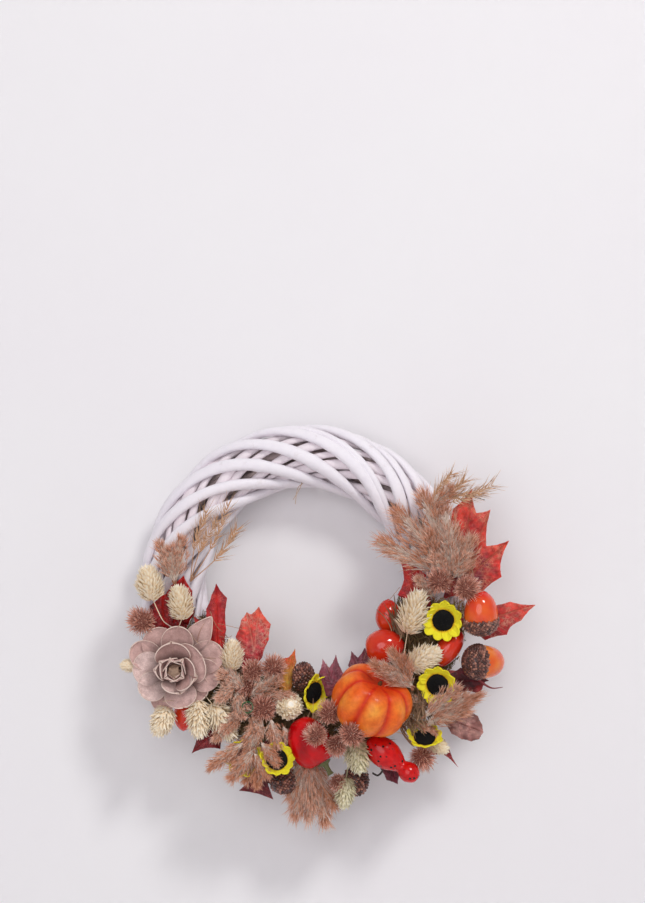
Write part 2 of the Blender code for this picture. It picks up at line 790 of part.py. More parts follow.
def lay_canary_grass(heap):
    left = [(-140, 6, 0, 38, 20, -10), (-112, -11, 0, 38, 18, -8)]
    bound = bunch("canary_grass_left", left, (-124, -40), CREAM_GRASS)
    heap.lay([bound], station(-151, 11), lift=0)
    lower = [
        (-129, -122, 0, 34, 20, 198),
        (-95, -120, 0, 40, 20, 178),
        (-73, -122, 0, 46, 20, 150),
    ]
    bound = bunch("canary_grass_lower_left", lower, (-104, -92), CREAM_GRASS)
    heap.lay([bound], station(*GRASS_LOWER_LEFT), lift=-6)
    bottom = [(48, -153, 6, 36, 18, 175), (37, -188, 0, 34, 16, 185)]
    bound = bunch("canary_grass_bottom", bottom, (42, -136), CREAM_GRASS)
    heap.lay([bound], station(36, 23), lift=-6)
    right = [(100, -19, 0, 50, 20, 25), (111, -62, 6, 36, 20, 65)]
    bound = bunch("canary_grass_right", right, (92, -58), CREAM_GRASS)
    heap.lay([bound], station(121, -11))


def lay_fruit(heap):
    heap.lay(pepper(), station(5, 19), turn_to(150, 6))
    heap.lay([spotted_gourd()], station(57, 54), turn_to(128, 0), lift=-14)
    heap.lay([pumpkin()], station(66, -2), turn_to(57, 36))
    heap.lay(sunflower(1), station(11, -25), turn_to(105, 42))


def lay_burrs(heap):
    inner = [(-28, -72, 4, 18, 18, 0), (-46, -73, 0, 17, 17, 0), (-37, -110, 0, 22, 22, 0)]
    bound = bunch("burrs_inner_left", inner, (-38, -88), BURR_BROWN, fullness=0.5)
    heap.lay([bound], station(-49, -24))
    upper = [(122, 7, 0, 16, 16, 0), (147, -1, 6, 16, 16, 0)]
    bound = bunch("burrs_upper_right", upper, (135, 0), BURR_BROWN, fullness=0.5)
    heap.lay([bound], station(188, 16), lift=0)
    bottom = [
        (10, -133, 0, 16, 16, 0),
        (22, -117, 8, 14, 14, 0),
        (38, -130, 18, 16, 16, 0),
        (29, -143, 0, 14, 14, 0),
    ]
    bound = bunch("burrs_bottom", bottom, (23, -128), BURR_BROWN, fullness=0.5)
    heap.lay([bound], station(21, 11))


def lay_flowers(heap):
    heap.lay(rose(), station(-120, 19), turn_to(0, 90))
    heap.lay(sunflower(2), station(161, 9), turn_to(200, 82))
    heap.lay(sunflower(3), station(113, 28), turn_to(220, 76))
    heap.lay(sunflower(4, 0.0175), station(81, 54), turn_to(5, 40))
    heap.lay(sunflower(5, 0.018), station(-41, 44), turn_to(0, 85))
    heap.lay(sunflower(6, 0.017), station(-19, 37), turn_to(30, 70))


def main():
    remove_scene_objects()
    heap = Heap()
    for part in [*woven_ring(), moss_bed()]:
        heap.add(part)
    lay_leaves(heap)
    lay_nuts(heap)
    lay_reeds(heap)
    lay_canary_grass(heap)
    lay_fruit(heap)
    lay_burrs(heap)
    lay_flowers(heap)


main()
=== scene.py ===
"""Harvest door wreath: a woven white willow ring dressed with autumn leaves, fruit and dried grass.

Lengths in the tables are millimetres: across is to the right, up is from the ring's centre, and
out is +Y, so that a more negative value stands further from the door.
"""

import math
import bpy
import numpy as np
from bpy.props import FloatProperty, IntProperty, PointerProperty
from mathutils import Matrix, Vector


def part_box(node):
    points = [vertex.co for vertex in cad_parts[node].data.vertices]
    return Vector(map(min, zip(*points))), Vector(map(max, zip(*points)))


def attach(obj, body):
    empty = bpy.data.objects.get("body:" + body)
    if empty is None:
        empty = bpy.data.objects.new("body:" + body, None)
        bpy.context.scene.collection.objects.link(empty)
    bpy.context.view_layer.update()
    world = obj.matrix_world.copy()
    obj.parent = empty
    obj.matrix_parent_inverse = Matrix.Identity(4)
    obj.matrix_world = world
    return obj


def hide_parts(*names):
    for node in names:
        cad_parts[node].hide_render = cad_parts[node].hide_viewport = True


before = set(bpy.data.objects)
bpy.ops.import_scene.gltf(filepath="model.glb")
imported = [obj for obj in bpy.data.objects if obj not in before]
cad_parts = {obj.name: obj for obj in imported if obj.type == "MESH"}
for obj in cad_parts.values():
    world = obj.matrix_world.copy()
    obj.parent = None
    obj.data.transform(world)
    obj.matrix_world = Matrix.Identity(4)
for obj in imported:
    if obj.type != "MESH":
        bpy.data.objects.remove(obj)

bl_info = {
    "name": "Harvest Door Wreath",
    "version": (1, 0, 0),
    "blender": (4, 5, 0),
    "location": "3D View > Sidebar > Wreath",
    "description": "Builds a willow door wreath with leaves, fruit, felt flowers and dried grass",
    "category": "Object",
}

MM = 0.001
TAU = 2 * math.pi
GOLDEN = math.pi * (3 - math.sqrt(5))

RING_RADIUS = 119.5  # of the tube's middle line
RING_DROP = 89.0  # the ring's centre below the origin
OUTER_LAYER, UNDER_LAYER, CORE_LAYER = 25.9, 19.0, 8.5  # the rods' distance from that middle line
MOSS_DEPTH = 31.0  # the moss from that middle line
MOSS_SPAN = (-72, 84)  # degrees round the ring from its bottom
MOSS_SIDES = (-165, -15)  # degrees round the tube
OUTWARD = np.array([[[0.0, 1.0, 0.0]]])  # +Y, for the flat side of a strand

# ---- Tables ----------------------------------------------------------------------------------

# name: (outline about the joint, stalk's end, tip colour, joint colour, vein colour, which is also a
# painted highlight, bulge, curl)
LEAVES = {
    "maple_leaf_right": (
        [(-8, 4), (6, 15), (31, 19), (54, 16), (41, 2), (31, -4), (28, -11), (8, -16)],
        (-24, 6), (0.95, 0.26, 0.20), (0.60, 0.09, 0.14), (1.0, 0.76, 0.64), 3.0, 1.5,
    ),
    "maple_leaf_upper_right": (
        [(-6, -12), (-13, 20), (-15, 47), (-8, 67), (9, 85), (13, 63), (26, 66), (22, 33),
         (43, 38), (35, 17), (36, 5), (18, -9)],
        (-16, -14), (0.98, 0.25, 0.17), (0.50, 0.12, 0.22), (0.98, 0.66, 0.52), 2.5, 2.0,
    ),
    "maple_leaf_inner_right": (
        [(-2, -9), (-11, -2), (-19, 5), (-13, 19), (-18, 40), (-5, 35), (7, 23), (11, 0)],
        (12, -12), (0.88, 0.10, 0.13), (0.66, 0.08, 0.13), (0.96, 0.42, 0.34), 3.0, 1.0,
    ),
    "maroon_leaf": (
        [(-5, 8), (16, 8), (31, -2), (26, -15), (15, -11), (3, -17), (-6, -9)],
        (-18, 6), (0.70, 0.20, 0.20), (0.56, 0.18, 0.18), (0.82, 0.48, 0.46), 2.0, 1.0,
    ),
    "maple_leaf_spike": (
        [(19, -20), (11, -4), (7, 5), (-4, -9), (5, -8)],
        (-34, 34), (0.78, 0.12, 0.16), (0.42, 0.07, 0.12), (0.86, 0.35, 0.35), 1.0, 1.0,
    ),
    # The brown leaf's pale pink joint colour is a painted sheen.
    "brown_leaf": (
        [(-11, 8), (-6, 13), (2, 14), (11, 11), (19, 5), (23, -3), (24, -10), (20, -16),
         (13, -18), (4, -16), (-5, -11), (-10, -3)],
        (-30, 22), (0.40, 0.20, 0.18), (0.90, 0.70, 0.65), (0.60, 0.36, 0.33), 4.0, -1.0,
    ),
    "star_leaf": (
        [(9, -25), (4, -10), (-22, -17), (-11, -5), (-16, 5), (18, 3), (21, -9), (12, -13)],
        (4, 30), (0.52, 0.11, 0.15), (0.38, 0.08, 0.12), (0.72, 0.32, 0.32), 2.0, 1.0,
    ),
    "maple_leaf_left": (
        [(-1, 58), (9, 45), (8, 16), (7, -6), (-19, 11), (-22, 29), (-11, 22), (-10, 35), (-5, 48)],
        (-8, -14), (0.66, 0.10, 0.16), (0.90, 0.12, 0.11), (0.92, 0.36, 0.30), 3.0, 2.0,
    ),
    "maple_leaf_inner_left": (
        [(4, 41), (15, 25), (13, 11), (7, -5), (-15, -3), (-17, 14), (-12, 29), (-7, 36), (-3, 34)],
        (-8, -30), (1.0, 0.32, 0.20), (0.80, 0.20, 0.26), (1.0, 0.78, 0.68), 3.0, 2.0,
    ),
    "maple_leaf_bottom": (
        [(9, 36), (10, 24), (7, 7), (5, -8), (-8, 7), (-4, 27), (3, 28)],
        (-2, -14), (0.96, 0.28, 0.14), (1.0, 0.72, 0.30), (1.0, 0.80, 0.45), 2.0, 1.5,
    ),
    "curled_red_leaf": (
        [(7, 39), (15, 25), (17, 5), (9, -11), (-18, -2), (-15, 16), (-4, 30)],
        (-8, -18), (0.80, 0.07, 0.06), (0.44, 0.04, 0.08), (0.90, 0.18, 0.14), 5.0, 3.0,
    ),
}

LEAF_SLOTS = {"maroon_leaf": "leaf_maroon", "star_leaf": "leaf_maroon", "brown_leaf": "leaf_brown"}
GLOSSY_LEAVES = ("curled_red_leaf", "brown_leaf")
GLOSSY_LEAF, CLOTH_LEAF = 0.22, 0.42  # roughness

# Leaf tips and loose petals with no stalk of their own in view:
# (name, place of the joint, outline, stalk's end, tip colour, joint colour, vein colour, which is also
# a painted highlight, slot)
SMALL_LEAVES = [
    ("small_leaf_mauve_left", (25, -86, -42), [(-12, 8), (-8, 22), (-2, 14), (4, 26), (9, 12),
     (14, 4), (2, -10)], (-4, -12), (0.66, 0.36, 0.42), (0.48, 0.18, 0.24), (0.82, 0.60, 0.64),
     "leaf_maroon"),
    ("small_leaf_mauve_top", (52, -76, -40), [(-12, 6), (-9, 19), (-3, 13), (3, 22), (9, 16),
     (12, 4), (0, -8)], (-2, -12), (0.56, 0.30, 0.35), (0.42, 0.14, 0.20), (0.76, 0.54, 0.58),
     "leaf_maroon"),
    ("small_leaf_lower_left", (-84, -132, -36), [(-18, -18), (-12, 4), (4, 10), (12, 2), (8, -14),
     (-4, -13)], (4, 14), (0.60, 0.08, 0.13), (0.40, 0.05, 0.10), (0.80, 0.30, 0.30), "leaf_red"),
    ("small_leaf_by_the_gourd", (78, -160, -38), [(-9, -3), (-3, -14), (7, -18), (9, -8), (4, 3)],
     (-4, 12), (0.44, 0.10, 0.18), (0.36, 0.07, 0.13), (0.70, 0.34, 0.42), "leaf_maroon"),
    ("small_leaf_under_the_heads", (-128, -24, -37), [(-14, -8), (-12, 8), (0, 20), (10, 12),
     (14, -6), (2, -20)], (2, -24), (0.78, 0.06, 0.06), (0.46, 0.04, 0.08), (0.90, 0.18, 0.14),
     "leaf_red"),
    ("loose_petal_bottom", (-30, -158, -40), [(-10, -4), (-9, -15), (2, -20), (13, -15), (14, -4),
     (4, 4)], (0, 10), (0.66, 0.34, 0.36), (0.52, 0.20, 0.24), (0.86, 0.60, 0.60), "leaf_maroon"),
    ("loose_petal_by_the_acorn", (146, -84, -38), [(-14, 6), (-4, 12), (12, 8), (22, 0), (8, -6),
     (-8, -6)], (-18, -2), (0.42, 0.06, 0.11), (0.30, 0.05, 0.09), (0.60, 0.26, 0.30),
     "leaf_maroon"),
]

ROD_TWIST = 2.3  # turns about the tube for each loop of the ring

# (clock degrees where the rod passes over the ring's outer edge, half width, start degrees)
OUTER_RODS = [(-150, 5.6, -30), (-122, 5.4, 20), (-101, 5.8, -12), (-80, 5.5, 8), (-60, 5.9, 30),
              (-38, 6.0, -22), (-16, 5.6, 0), (-138, 3.6, 14), (-6, 3.2, -8)]
INNER_RODS = [(-160, 5.2, 10), (-128, 5.0, -20), (-99, 5.4, 26), (-66, 5.2, -8), (-34, 5.4, 16),
              (-146, 3.6, -28), (-84, 4.2, 4), (-52, 3.2, 20), (-20, 3.6, 32), (-113, 3.0, 0)]

# (name, nodes, [(across, up, out, length, width, clock, rise)], (binding across, up))
CANARY_GRASS = [
    ("canary_heads_left", ["canary_grass_left"],
     [(-140, 6, -47, 38, 24, -10, 6), (-112, -11, -48, 38, 21, -8, 8)], (-122, -34)),
    ("canary_heads_lower_left", ["canary_grass_lower_left"],
     [(-129, -122, -42, 34, 21, 198, 6), (-95, -120, -43, 41, 21, 178, 10),
      (-73, -122, -42, 46, 21, 150, 6)], (-100, -92)),
    ("canary_heads_bottom", ["canary_grass_bottom"],
     [(49, -153, -56, 36, 24, 172, 12), (37, -187, -41, 34, 17, 185, 4)], (46, -126)),
    ("canary_heads_right", ["canary_grass_right"],
     [(100, -19, -52, 50, 23, 18, 8), (111, -62, -54, 38, 23, 62, 6)], (92, -74)),
    ("canary_heads_rest", [],
     [(-65, -59, -43, 33, 19, 4, 6), (-160, -70, -40, 18, 12, -86, 0),
      (-13, -106, -50, 26, 26, 40, 72), (122, -143, -42, 26, 15, 118, 4)], (-40, -100)),
]
GREENISH_HEADS = ("canary_heads_bottom",)

# (name, nodes, [(across, up, out, diameter, clock, rise)])
BURRS = [
    ("burrs_by_the_leaf", ["burrs_inner_left"],
     [(-28, -72, -47, 26, 30, 40), (-46, -75, -45, 23, -20, 40), (-37, -108, -50, 28, 0, 50)]),
    ("burrs_under_the_reed", ["burrs_upper_right"],
     [(122, 7, -58, 27, -10, 20), (147, 0, -59, 27, 60, 30)]),
    ("burrs_by_the_pumpkin", ["burrs_bottom"],
     [(11, -131, -76, 23, -50, 30), (23, -111, -74, 25, 10, 30), (43, -129, -88, 27, 40, 40),
      (29, -140, -70, 22, 180, 30)]),
    ("burrs_at_the_rim", [],
     [(-147, -30, -44, 29, -60, 30), (-58, -147, -44, 23, 200, 30), (107, -153, -46, 27, 150, 30),
      (31, -176, -42, 19, 190, 30), (-52, -90, -42, 20, -120, 30)]),
]

# (name, nodes, [(base across, up, out, tip across, up, out, spread degrees, tone)])
REEDS = [
    ("reed_bunch", ["reed_bunch_right"], [
        (134, 8, -48, 132, 56, -52, 34, 0.45), (140, 6, -46, 150, 50, -47, 30, 0.5),
        (126, 6, -46, 112, 50, -48, 30, 0.55), (128, 14, -42, 66, 42, -44, 22, 0.75),
    ]),
    ("reed_bunch_back", [], [
        (130, 20, -42, 86, 70, -44, 20, 0.7), (132, 24, -44, 108, 84, -44, 20, 0.6),
        (112, 70, -42, 134, 94, -46, 26, 0.7), (132, 6, -54, 118, 28, -60, 34, 0.35),
        (134, 8, -54, 148, 32, -58, 34, 0.4), (136, 10, -50, 128, 70, -50, 26, 0.5),
    ]),
    ("reed_plume_by_the_brown_leaf", ["reed_plume_right"], [
        (106, -122, -50, 148, -108, -56, 24, 0.5), (108, -126, -52, 146, -98, -58, 22, 0.55),
        (106, -118, -54, 138, -90, -62, 24, 0.45), (108, -122, -50, 158, -99, -52, 12, 0.6),
    ]),
    ("reed_plume_lowest", ["reed_plume_bottom"], [
        (2, -150, -38, -7, -206, -34, 20, 0.6), (3, -152, -38, 6, -213, -34, 20, 0.3),
        (4, -150, -38, 19, -209, -34, 19, 0.6), (1, -148, -40, -13, -192, -36, 22, 0.8),
        (3, -150, -40, 6, -198, -40, 24, 0.45), (5, -150, -38, 27, -198, -36, 18, 0.7),
    ]),
    ("reed_tuft_upper_left", [], [
        (-118, 4, -44, -130, 42, -46, 26, 0.45), (-116, 4, -46, -112, 44, -48, 24, 0.5),
        (-117, 4, -48, -121, 36, -54, 30, 0.4),
    ]),
    ("reed_tufts_inner_left", [], [
        (-52, -92, -46, -74, -72, -52, 34, 0.3), (-50, -98, -46, -24, -78, -52, 30, 0.35),
        (-36, -116, -52, -52, -148, -52, 30, 0.6), (-30, -116, -52, -24, -144, -54, 26, 0.55),
        (-42, -142, -46, -52, -176, -46, 24, 0.75), (-60, -86, -48, -78, -100, -52, 30, 0.35),
        (-34, -96, -50, -12, -98, -54, 26, 0.4), (-62, -92, -46, -58, -116, -54, 34, 0.35),
        (-56, -110, -46, -74, -128, -52, 28, 0.5),
    ]),
    ("reed_tufts_below_the_rose", [], [
        (-48, -112, -48, -40, -132, -54, 28, 0.5), (-66, -112, -44, -78, -136, -46, 26, 0.45),
        (-48, -130, -46, -62, -160, -44, 22, 0.8), (-42, -142, -54, -66, -172, -58, 24, 0.7),
        (-38, -144, -56, -40, -178, -56, 22, 0.85), (-52, -138, -54, -84, -160, -50, 22, 0.7),
        (-20, -122, -48, -10, -148, -48, 24, 0.5), (-40, -136, -58, -24, -158, -64, 24, 0.85),
        (-46, -146, -58, -34, -168, -62, 22, 0.8),
    ]),
    ("reed_plume_over_the_pumpkin", [], [
        (99, -90, -72, 67, -64, -92, 20, 0.7), (98, -91, -72, 76, -56, -88, 18, 0.75),
        (100, -88, -72, 74, -72, -94, 18, 0.6), (98, -90, -70, 88, -62, -84, 20, 0.65),
    ]),
    ("reed_tufts_right", [], [
        (116, -104, -46, 96, -98, -56, 28, 0.4), (96, -120, -44, 118, -132, -50, 24, 0.6),
        (118, -10, -44, 104, 10, -48, 28, 0.3),
        (60, -70, -40, 68, -58, -42, 22, 0.2),
    ]),
]

# Bundles of straw: (middle across, up, out, clock degrees, length, straws)
HAY_TUFTS = [
    (104, -110, -52, 172, 30, 60), (95, -124, -46, 150, 26, 40), (88, -30, -44, 150, 24, 40),
    (10, -122, -50, 20, 20, 30), (60, -142, -46, 100, 28, 40), (-14, -140, -46, 10, 22, 30),
]

# (name, nodes, [(base across, up, out, tip across, up, out)])
OATS = [
    ("oat_spray", ["oat_spray_left"], [
        (-103, 6, -40, -68, 77, -44), (-103, 6, -40, -60, 54, -44), (-103, 6, -40, -78, 62, -40),
        (-103, 6, -40, -88, 70, -38),
    ]),
    ("oat_spray_top_right", [], [
        (104, 72, -42, 172, 94, -44), (106, 72, -42, 162, 86, -42), (106, 72, -42, 146, 98, -48),
        (108, 60, -42, 134, 104, -46),
    ]),
]

# (number, radius, petals, clock, rise, roll)
SUNFLOWERS = [
    (1, 19.5, 11, 105, 42, 10), (2, 19.5, 11, 200, 82, 0), (3, 19.5, 11, 220, 76, 20),
    (4, 18.0, 10, 5, 40, 5), (5, 18.5, 11, 0, 85, 0), (6, 17.5, 11, 30, 70, 12),
]

ROSE_PLACE = (-117, -75)  # across, up
OUTER_SHAVINGS = 11  # the first rows of the table are the rose's outer ones

# (direction, foot, length, width, rise at the foot, rise at the tip, height, point, tone)
ROSE_PETALS = [
    (-30, 12, 31, 31, 8, -8, 0.5, 0.0, 0.40), (5, 10, 31, 29, 12, 0, 2.0, 0.0, 0.30),
    (34, 14, 46, 23, 6, 6, 0.0, 0.8, 0.45), (66, 12, 35, 30, 6, -4, 1.0, 0.0, 0.45),
    (98, 10, 31, 30, 10, -10, 2.0, 0.0, 0.45), (130, 10, 26, 26, 8, -6, 1.0, 0.1, 0.40),
    (166, 9, 25, 29, 16, -2, 3.0, 0.0, 0.60), (-158, 10, 29, 24, 6, -6, 0.0, 0.0, 0.40),
    (-124, 9, 28, 27, 14, -6, 2.5, 0.0, 0.85), (-62, 11, 34, 27, 6, -2, 0.5, 0.0, 0.45),
    (-84, 8, 30, 31, 14, -8, 3.5, 0.0, 0.80),
    (-6, 8, 22, 32, 44, 10, 5.0, 0.0, 0.30), (62, 6, 25, 38, 40, 6, 5.0, 0.0, 0.40),
    (104, 5, 21, 30, 54, 22, 6.5, 0.0, 0.30), (165, 5, 19, 28, 46, 18, 5.5, 0.0, 0.70),
    (-84, 8, 16, 18, 58, 34, 5.5, 0.2, 0.65),
    (-54, 5, 18, 23, 62, 36, 7.0, 0.4, 0.55), (-16, 4, 17, 20, 68, 44, 8.0, 0.8, 0.45),
    (34, 4, 19, 19, 66, 46, 8.5, 0.5, 0.20), (122, 3, 15, 19, 72, 50, 8.5, 0.1, 0.40),
    (-122, 3, 14, 18, 70, 46, 8.5, 0.3, 0.65), (176, 2, 12, 15, 74, 56, 9.0, 0.4, 0.55),
]


# In metres: (name, place, size, watts, colour)
LIGHTS = [
    ("key_light", (1.15, -2.1, 1.95), 0.7, 34, (1.0, 0.99, 0.98)),
    ("fill_light", (-0.7, -3.0, 0.4), 2.2, 25, (0.99, 0.96, 1.0)),
    ("back_light", (0.6, 1.4, 0.7), 1.2, 14, (1.0, 1.0, 1.0)),
]
LIT_POINT = (0, 0, -0.1)
WALL_FACE = 0.0312  # the door's face, just behind the rods
FLOOR = -0.7
CAMERA_ACROSS, CAMERA_UP, WREATH_MIDDLE = 0.0168, 0.035, -0.030

# ---- Shapes ----------------------------------------------------------------------------------


class Piece:
    """Points in millimetres with quads and triangles, and what is painted on each point."""

    def __init__(self, points, quads=(), tris=(), along=0.0, tone=0.5, across=0.0, paint=(1, 1, 1)):
        self.points = np.array(points, dtype=float).reshape(-1, 3)
        count = len(self.points)
        self.quads = np.array(quads, dtype=np.int64).reshape(-1, 4)
        self.tris = np.array(tris, dtype=np.int64).reshape(-1, 3)
        marks = {"along": along, "tone": tone, "across": across}
        self.marks = {key: np.broadcast_to(np.ravel(value) if np.ndim(value) else value, (count,))
                      for key, value in marks.items()}
        self.paint = np.broadcast_to(paint, (count, 3))

    def turned(self, rotation):
        self.points = self.points @ np.asarray(rotation).T
        return self

    def moved(self, across, out, up):
        self.points = self.points + np.array([across, out, up])
        return self

    def settled(self, node):
        """Moves the piece so that its box has the middle of the CAD node's box."""
        return self.moved(*way_to(node, self))

    def stretch_of(self, start, end):
        """The piece that its points from start to end make."""
        inside = (self.quads.min(1) >= start) & (self.quads.max(1) < end)
        marks = {key: value[start:end] for key, value in self.marks.items()}
        return Piece(self.points[start:end], self.quads[inside] - start, **marks)


def middle_of(corners):
    """The middle of the box round some points."""
    corners = np.asarray(corners, dtype=float)
    return (corners.min(0) + corners.max(0)) / 2


def way_to(node, *pieces):
    """From the middle of the pieces' common box to the middle of the CAD node's box."""
    whole = np.concatenate([piece.points for piece in pieces])
    return middle_of(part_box(node)) / MM - middle_of(whole)


def spot(across, up, out):
    """A place on the wreath in millimetres from the origin."""
    return np.array([across, out, up - RING_DROP], dtype=float)


def on_tube(around, turn, depth):
    """P = ((R + d cos t) sin a, d sin t, -drop - (R + d cos t) cos a): depth d from the middle line
    of the ring's tube, at t round the tube and a round the ring from its bottom."""
    reach = RING_RADIUS + depth * np.cos(turn)
    return np.stack([reach * np.sin(around), depth * np.sin(turn),
                     -RING_DROP - reach * np.cos(around)], -1)


def turn_to(clock, rise, roll=0.0):
    """Turns local +Z to clock degrees from straight up, and lifts it rise degrees to the viewer."""
    turn = Matrix.Rotation(math.radians(clock), 3, "Y")
    lift = Matrix.Rotation(math.radians(rise), 3, "X")
    spin = Matrix.Rotation(math.radians(roll), 3, "Z")
    return np.array(turn @ lift @ spin)


def unit(vectors):
    return vectors / np.maximum(np.linalg.norm(vectors, axis=-1, keepdims=True), 1e-9)


def linear(colour):
    """A colour given as it looks on a screen, as light."""
    colour = np.asarray(colour, dtype=float)
    return np.where(colour <= 0.04045, colour / 12.92, ((colour + 0.055) / 1.055) ** 2.4)


def ripple(points, size, seed, waves=7):
    """A smooth random field of about ±1: a sum of sines sin(k·p + phase), |k| about 2 pi / size."""
    chance = np.random.default_rng(seed)
    k = unit(chance.normal(size=(waves, 3))) * TAU / size * chance.uniform(0.6, 1.6, (waves, 1))
    phase = chance.uniform(0, TAU, waves)
    return np.sin(np.asarray(points, dtype=float) @ k.T + phase).sum(-1) / math.sqrt(waves) * 0.9


def through(points, count):
    """A Catmull-Rom curve through the points: h(t) = (1, t, t^2, t^3) M (p0, p1, p2, p3) / 2."""
    points = np.asarray(points, dtype=float)
    ends = np.concatenate([[2 * points[0] - points[1]], points, [2 * points[-1] - points[-2]]])
    place = np.linspace(0, len(points) - 1, count)
    first = np.minimum(place.astype(int), len(points) - 2)
    t = (place - first)[:, None]
    a, b, c, d = (ends[first + step] for step in range(4))
    return 0.5 * (2 * b + (c - a) * t + (2 * a - 5 * b + 4 * c - d) * t**2
                  + (3 * b - 3 * c + d - a) * t**3)


def tube_faces(rings, sides):
    """Quads between neighbouring rings of points, and a fan to each of the two end points that
    follow them. They face outwards where the rings turn from +X to +Y and rise along +Z."""
    ring, spoke = np.meshgrid(np.arange(rings - 1), np.arange(sides), indexing="ij")
    after = (spoke + 1) % sides
    quads = np.stack([ring * sides + spoke, ring * sides + after,
                      (ring + 1) * sides + after, (ring + 1) * sides + spoke], -1).reshape(-1, 4)
    spoke, after = np.arange(sides), (np.arange(sides) + 1) % sides
    foot, last = rings * sides, (rings - 1) * sides
    tris = np.concatenate([
        np.stack([np.full(sides, foot), after, spoke], -1),
        np.stack([np.full(sides, foot + 1), last + spoke, last + after], -1),
    ])
    return quads, tris


def strands(paths, radius, sides=3, flat=1.0, facing=None, blunt=False, tone=0.5, across=0.0):
    """Tubes along many paths at once: P = path + r(cos a · side + flat · sin a · up), with side
    and up at right angles to the path. Each end closes on a point of the path."""
    paths = np.asarray(paths, dtype=float)
    if paths.ndim == 2:
        paths = paths[None]
    many, length = paths.shape[:2]
    along = unit(np.gradient(paths, axis=1))
    if facing is None:
        mean = unit(paths[:, -1] - paths[:, 0] + 1e-6)
        facing = np.where(np.abs(mean[:, 2:]) < 0.8, [[0.0, 0.0, 1.0]], [[0.0, 1.0, 0.0]])[:, None]
    side = unit(np.cross(along, np.broadcast_to(facing, along.shape)))
    up = np.cross(side, along)
    rings = length if blunt else length - 1
    angle = TAU * np.arange(sides) / sides
    reach = np.broadcast_to(radius, (many, length))[:, :rings, None, None]
    wheel = (np.cos(angle)[:, None] * side[:, :rings, None]
             + flat * np.sin(angle)[:, None] * up[:, :rings, None])
    body = (paths[:, :rings, None] + reach * wheel).reshape(many, rings * sides, 3)
    points = np.concatenate([body, paths[:, :1], paths[:, -1:]], axis=1)
    quads, tris = tube_faces(rings, sides)
    quads, tris = quads[:, [0, 3, 2, 1]], tris[:, [0, 2, 1]]  # side, up and along are left-handed
    starts = (np.arange(many) * points.shape[1])[:, None, None]
    share = np.concatenate([np.repeat(np.arange(rings) / (length - 1), sides), [0, 1]])
    spread = (many, points.shape[1])
    return Piece(
        points, quads + starts, tris + starts,
        along=np.broadcast_to(share, spread),
        tone=np.broadcast_to(np.reshape(tone, (-1, 1)), spread),
        across=np.broadcast_to(np.reshape(across, (-1, 1)), spread),
    )


def lathe(profile, sides, swell=None, tone=0.5):
    """A profile of (radius, height) turned about local +Z: P = (k r cos a, k r sin a, z), where
    k = swell(share of the profile, angle). Both ends are poles."""
    profile = np.asarray(profile, dtype=float)
    inner = profile[1:-1]
    angle = TAU * np.arange(sides) / sides
    share = (np.arange(len(inner)) + 1) / (len(profile) - 1)
    grow = 1.0 if swell is None else swell(share[:, None], angle[None])
    grow = np.broadcast_to(grow, (len(inner), sides))
    reach = inner[:, :1] * grow
    height = np.broadcast_to(inner[:, 1:], reach.shape)
    body = np.stack([reach * np.cos(angle), reach * np.sin(angle), height], -1).reshape(-1, 3)
    points = np.concatenate([body, [[0, 0, profile[0, 1]], [0, 0, profile[-1, 1]]]])
    quads, tris = tube_faces(len(inner), sides)
    along = np.concatenate([np.repeat(share, sides), [0, 1]])
    across = np.concatenate([grow.ravel(), [grow[0].mean(), grow[-1].mean()]])
    return Piece(points, quads, tris, along=along, tone=tone, across=across)


def slabs(grids, thickness, along=0.0, tone=0.5, across=0.0):
    """Sheets with a wall: each grid of points moved half the thickness both ways along its normal
    n = dP/di x dP/dj, and the two faces joined round the rim."""
    grids = np.asarray(grids, dtype=float)
    many, rows, columns = grids.shape[:3]
    normal = unit(np.cross(np.gradient(grids, axis=1), np.gradient(grids, axis=2)))
    half = np.broadcast_to(np.asarray(thickness) / 2, (many, rows, columns))[..., None]
    points = np.stack([grids + half * normal, grids - half * normal], axis=1)
    i, j = np.meshgrid(np.arange(rows - 1), np.arange(columns - 1), indexing="ij")
    a, b = i * columns + j, (i + 1) * columns + j
    front = np.stack([a, b, b + 1, a + 1], -1).reshape(-1, 4)
    sheet = rows * columns
    rim = np.concatenate([
        np.arange(columns), columns * np.arange(1, rows) + columns - 1,
        sheet - 2 - np.arange(columns - 1), columns * np.arange(rows - 2, 0, -1),
    ])
    next_rim = np.roll(rim, -1)
    wall = np.stack([rim, next_rim, next_rim + sheet, rim + sheet], -1)
    quads = np.concatenate([front, front[:, ::-1] + sheet, wall])
    starts = (np.arange(many) * 2 * sheet)[:, None, None]

    def both(value):
        value = np.broadcast_to(value, (many, rows, columns))
        return np.stack([value, value], axis=1).ravel()

    return Piece(points, quads + starts, along=both(along), tone=both(tone), across=both(across))


def beads(centres, radius, axes, sides=6, stretch=1.0, tone=0.5):
    """Small closed balls: P = centre + r(cos a sin b, sin a sin b, stretch cos b) about an axis."""
    centres, axes = np.asarray(centres, dtype=float), unit(np.asarray(axes, dtype=float))
    polar = np.array([0.0, 0.22, 0.5, 0.78, 1.0]) * math.pi
    drop = -np.cos(polar)[None, :, None] * stretch
    paths = centres[:, None] + np.reshape(radius, (-1, 1, 1)) * drop * axes[:, None]
    thick = np.reshape(radius, (-1, 1)) * np.maximum(np.sin(polar), 1e-3)[None]
    other = np.where(np.abs(axes[:, 2:]) < 0.8, [[0.0, 0.0, 1.0]], [[1.0, 0.0, 0.0]])
    inner = strands(paths[:, 1:-1], thick[:, 1:-1], sides, facing=other[:, None], blunt=True,
                    tone=tone)
    each = 3 * sides + 2
    body = inner.points.reshape(len(centres), each, 3)
    body[:, -2], body[:, -1] = paths[:, 0], paths[:, -1]
    inner.points = body.reshape(-1, 3)
    return inner


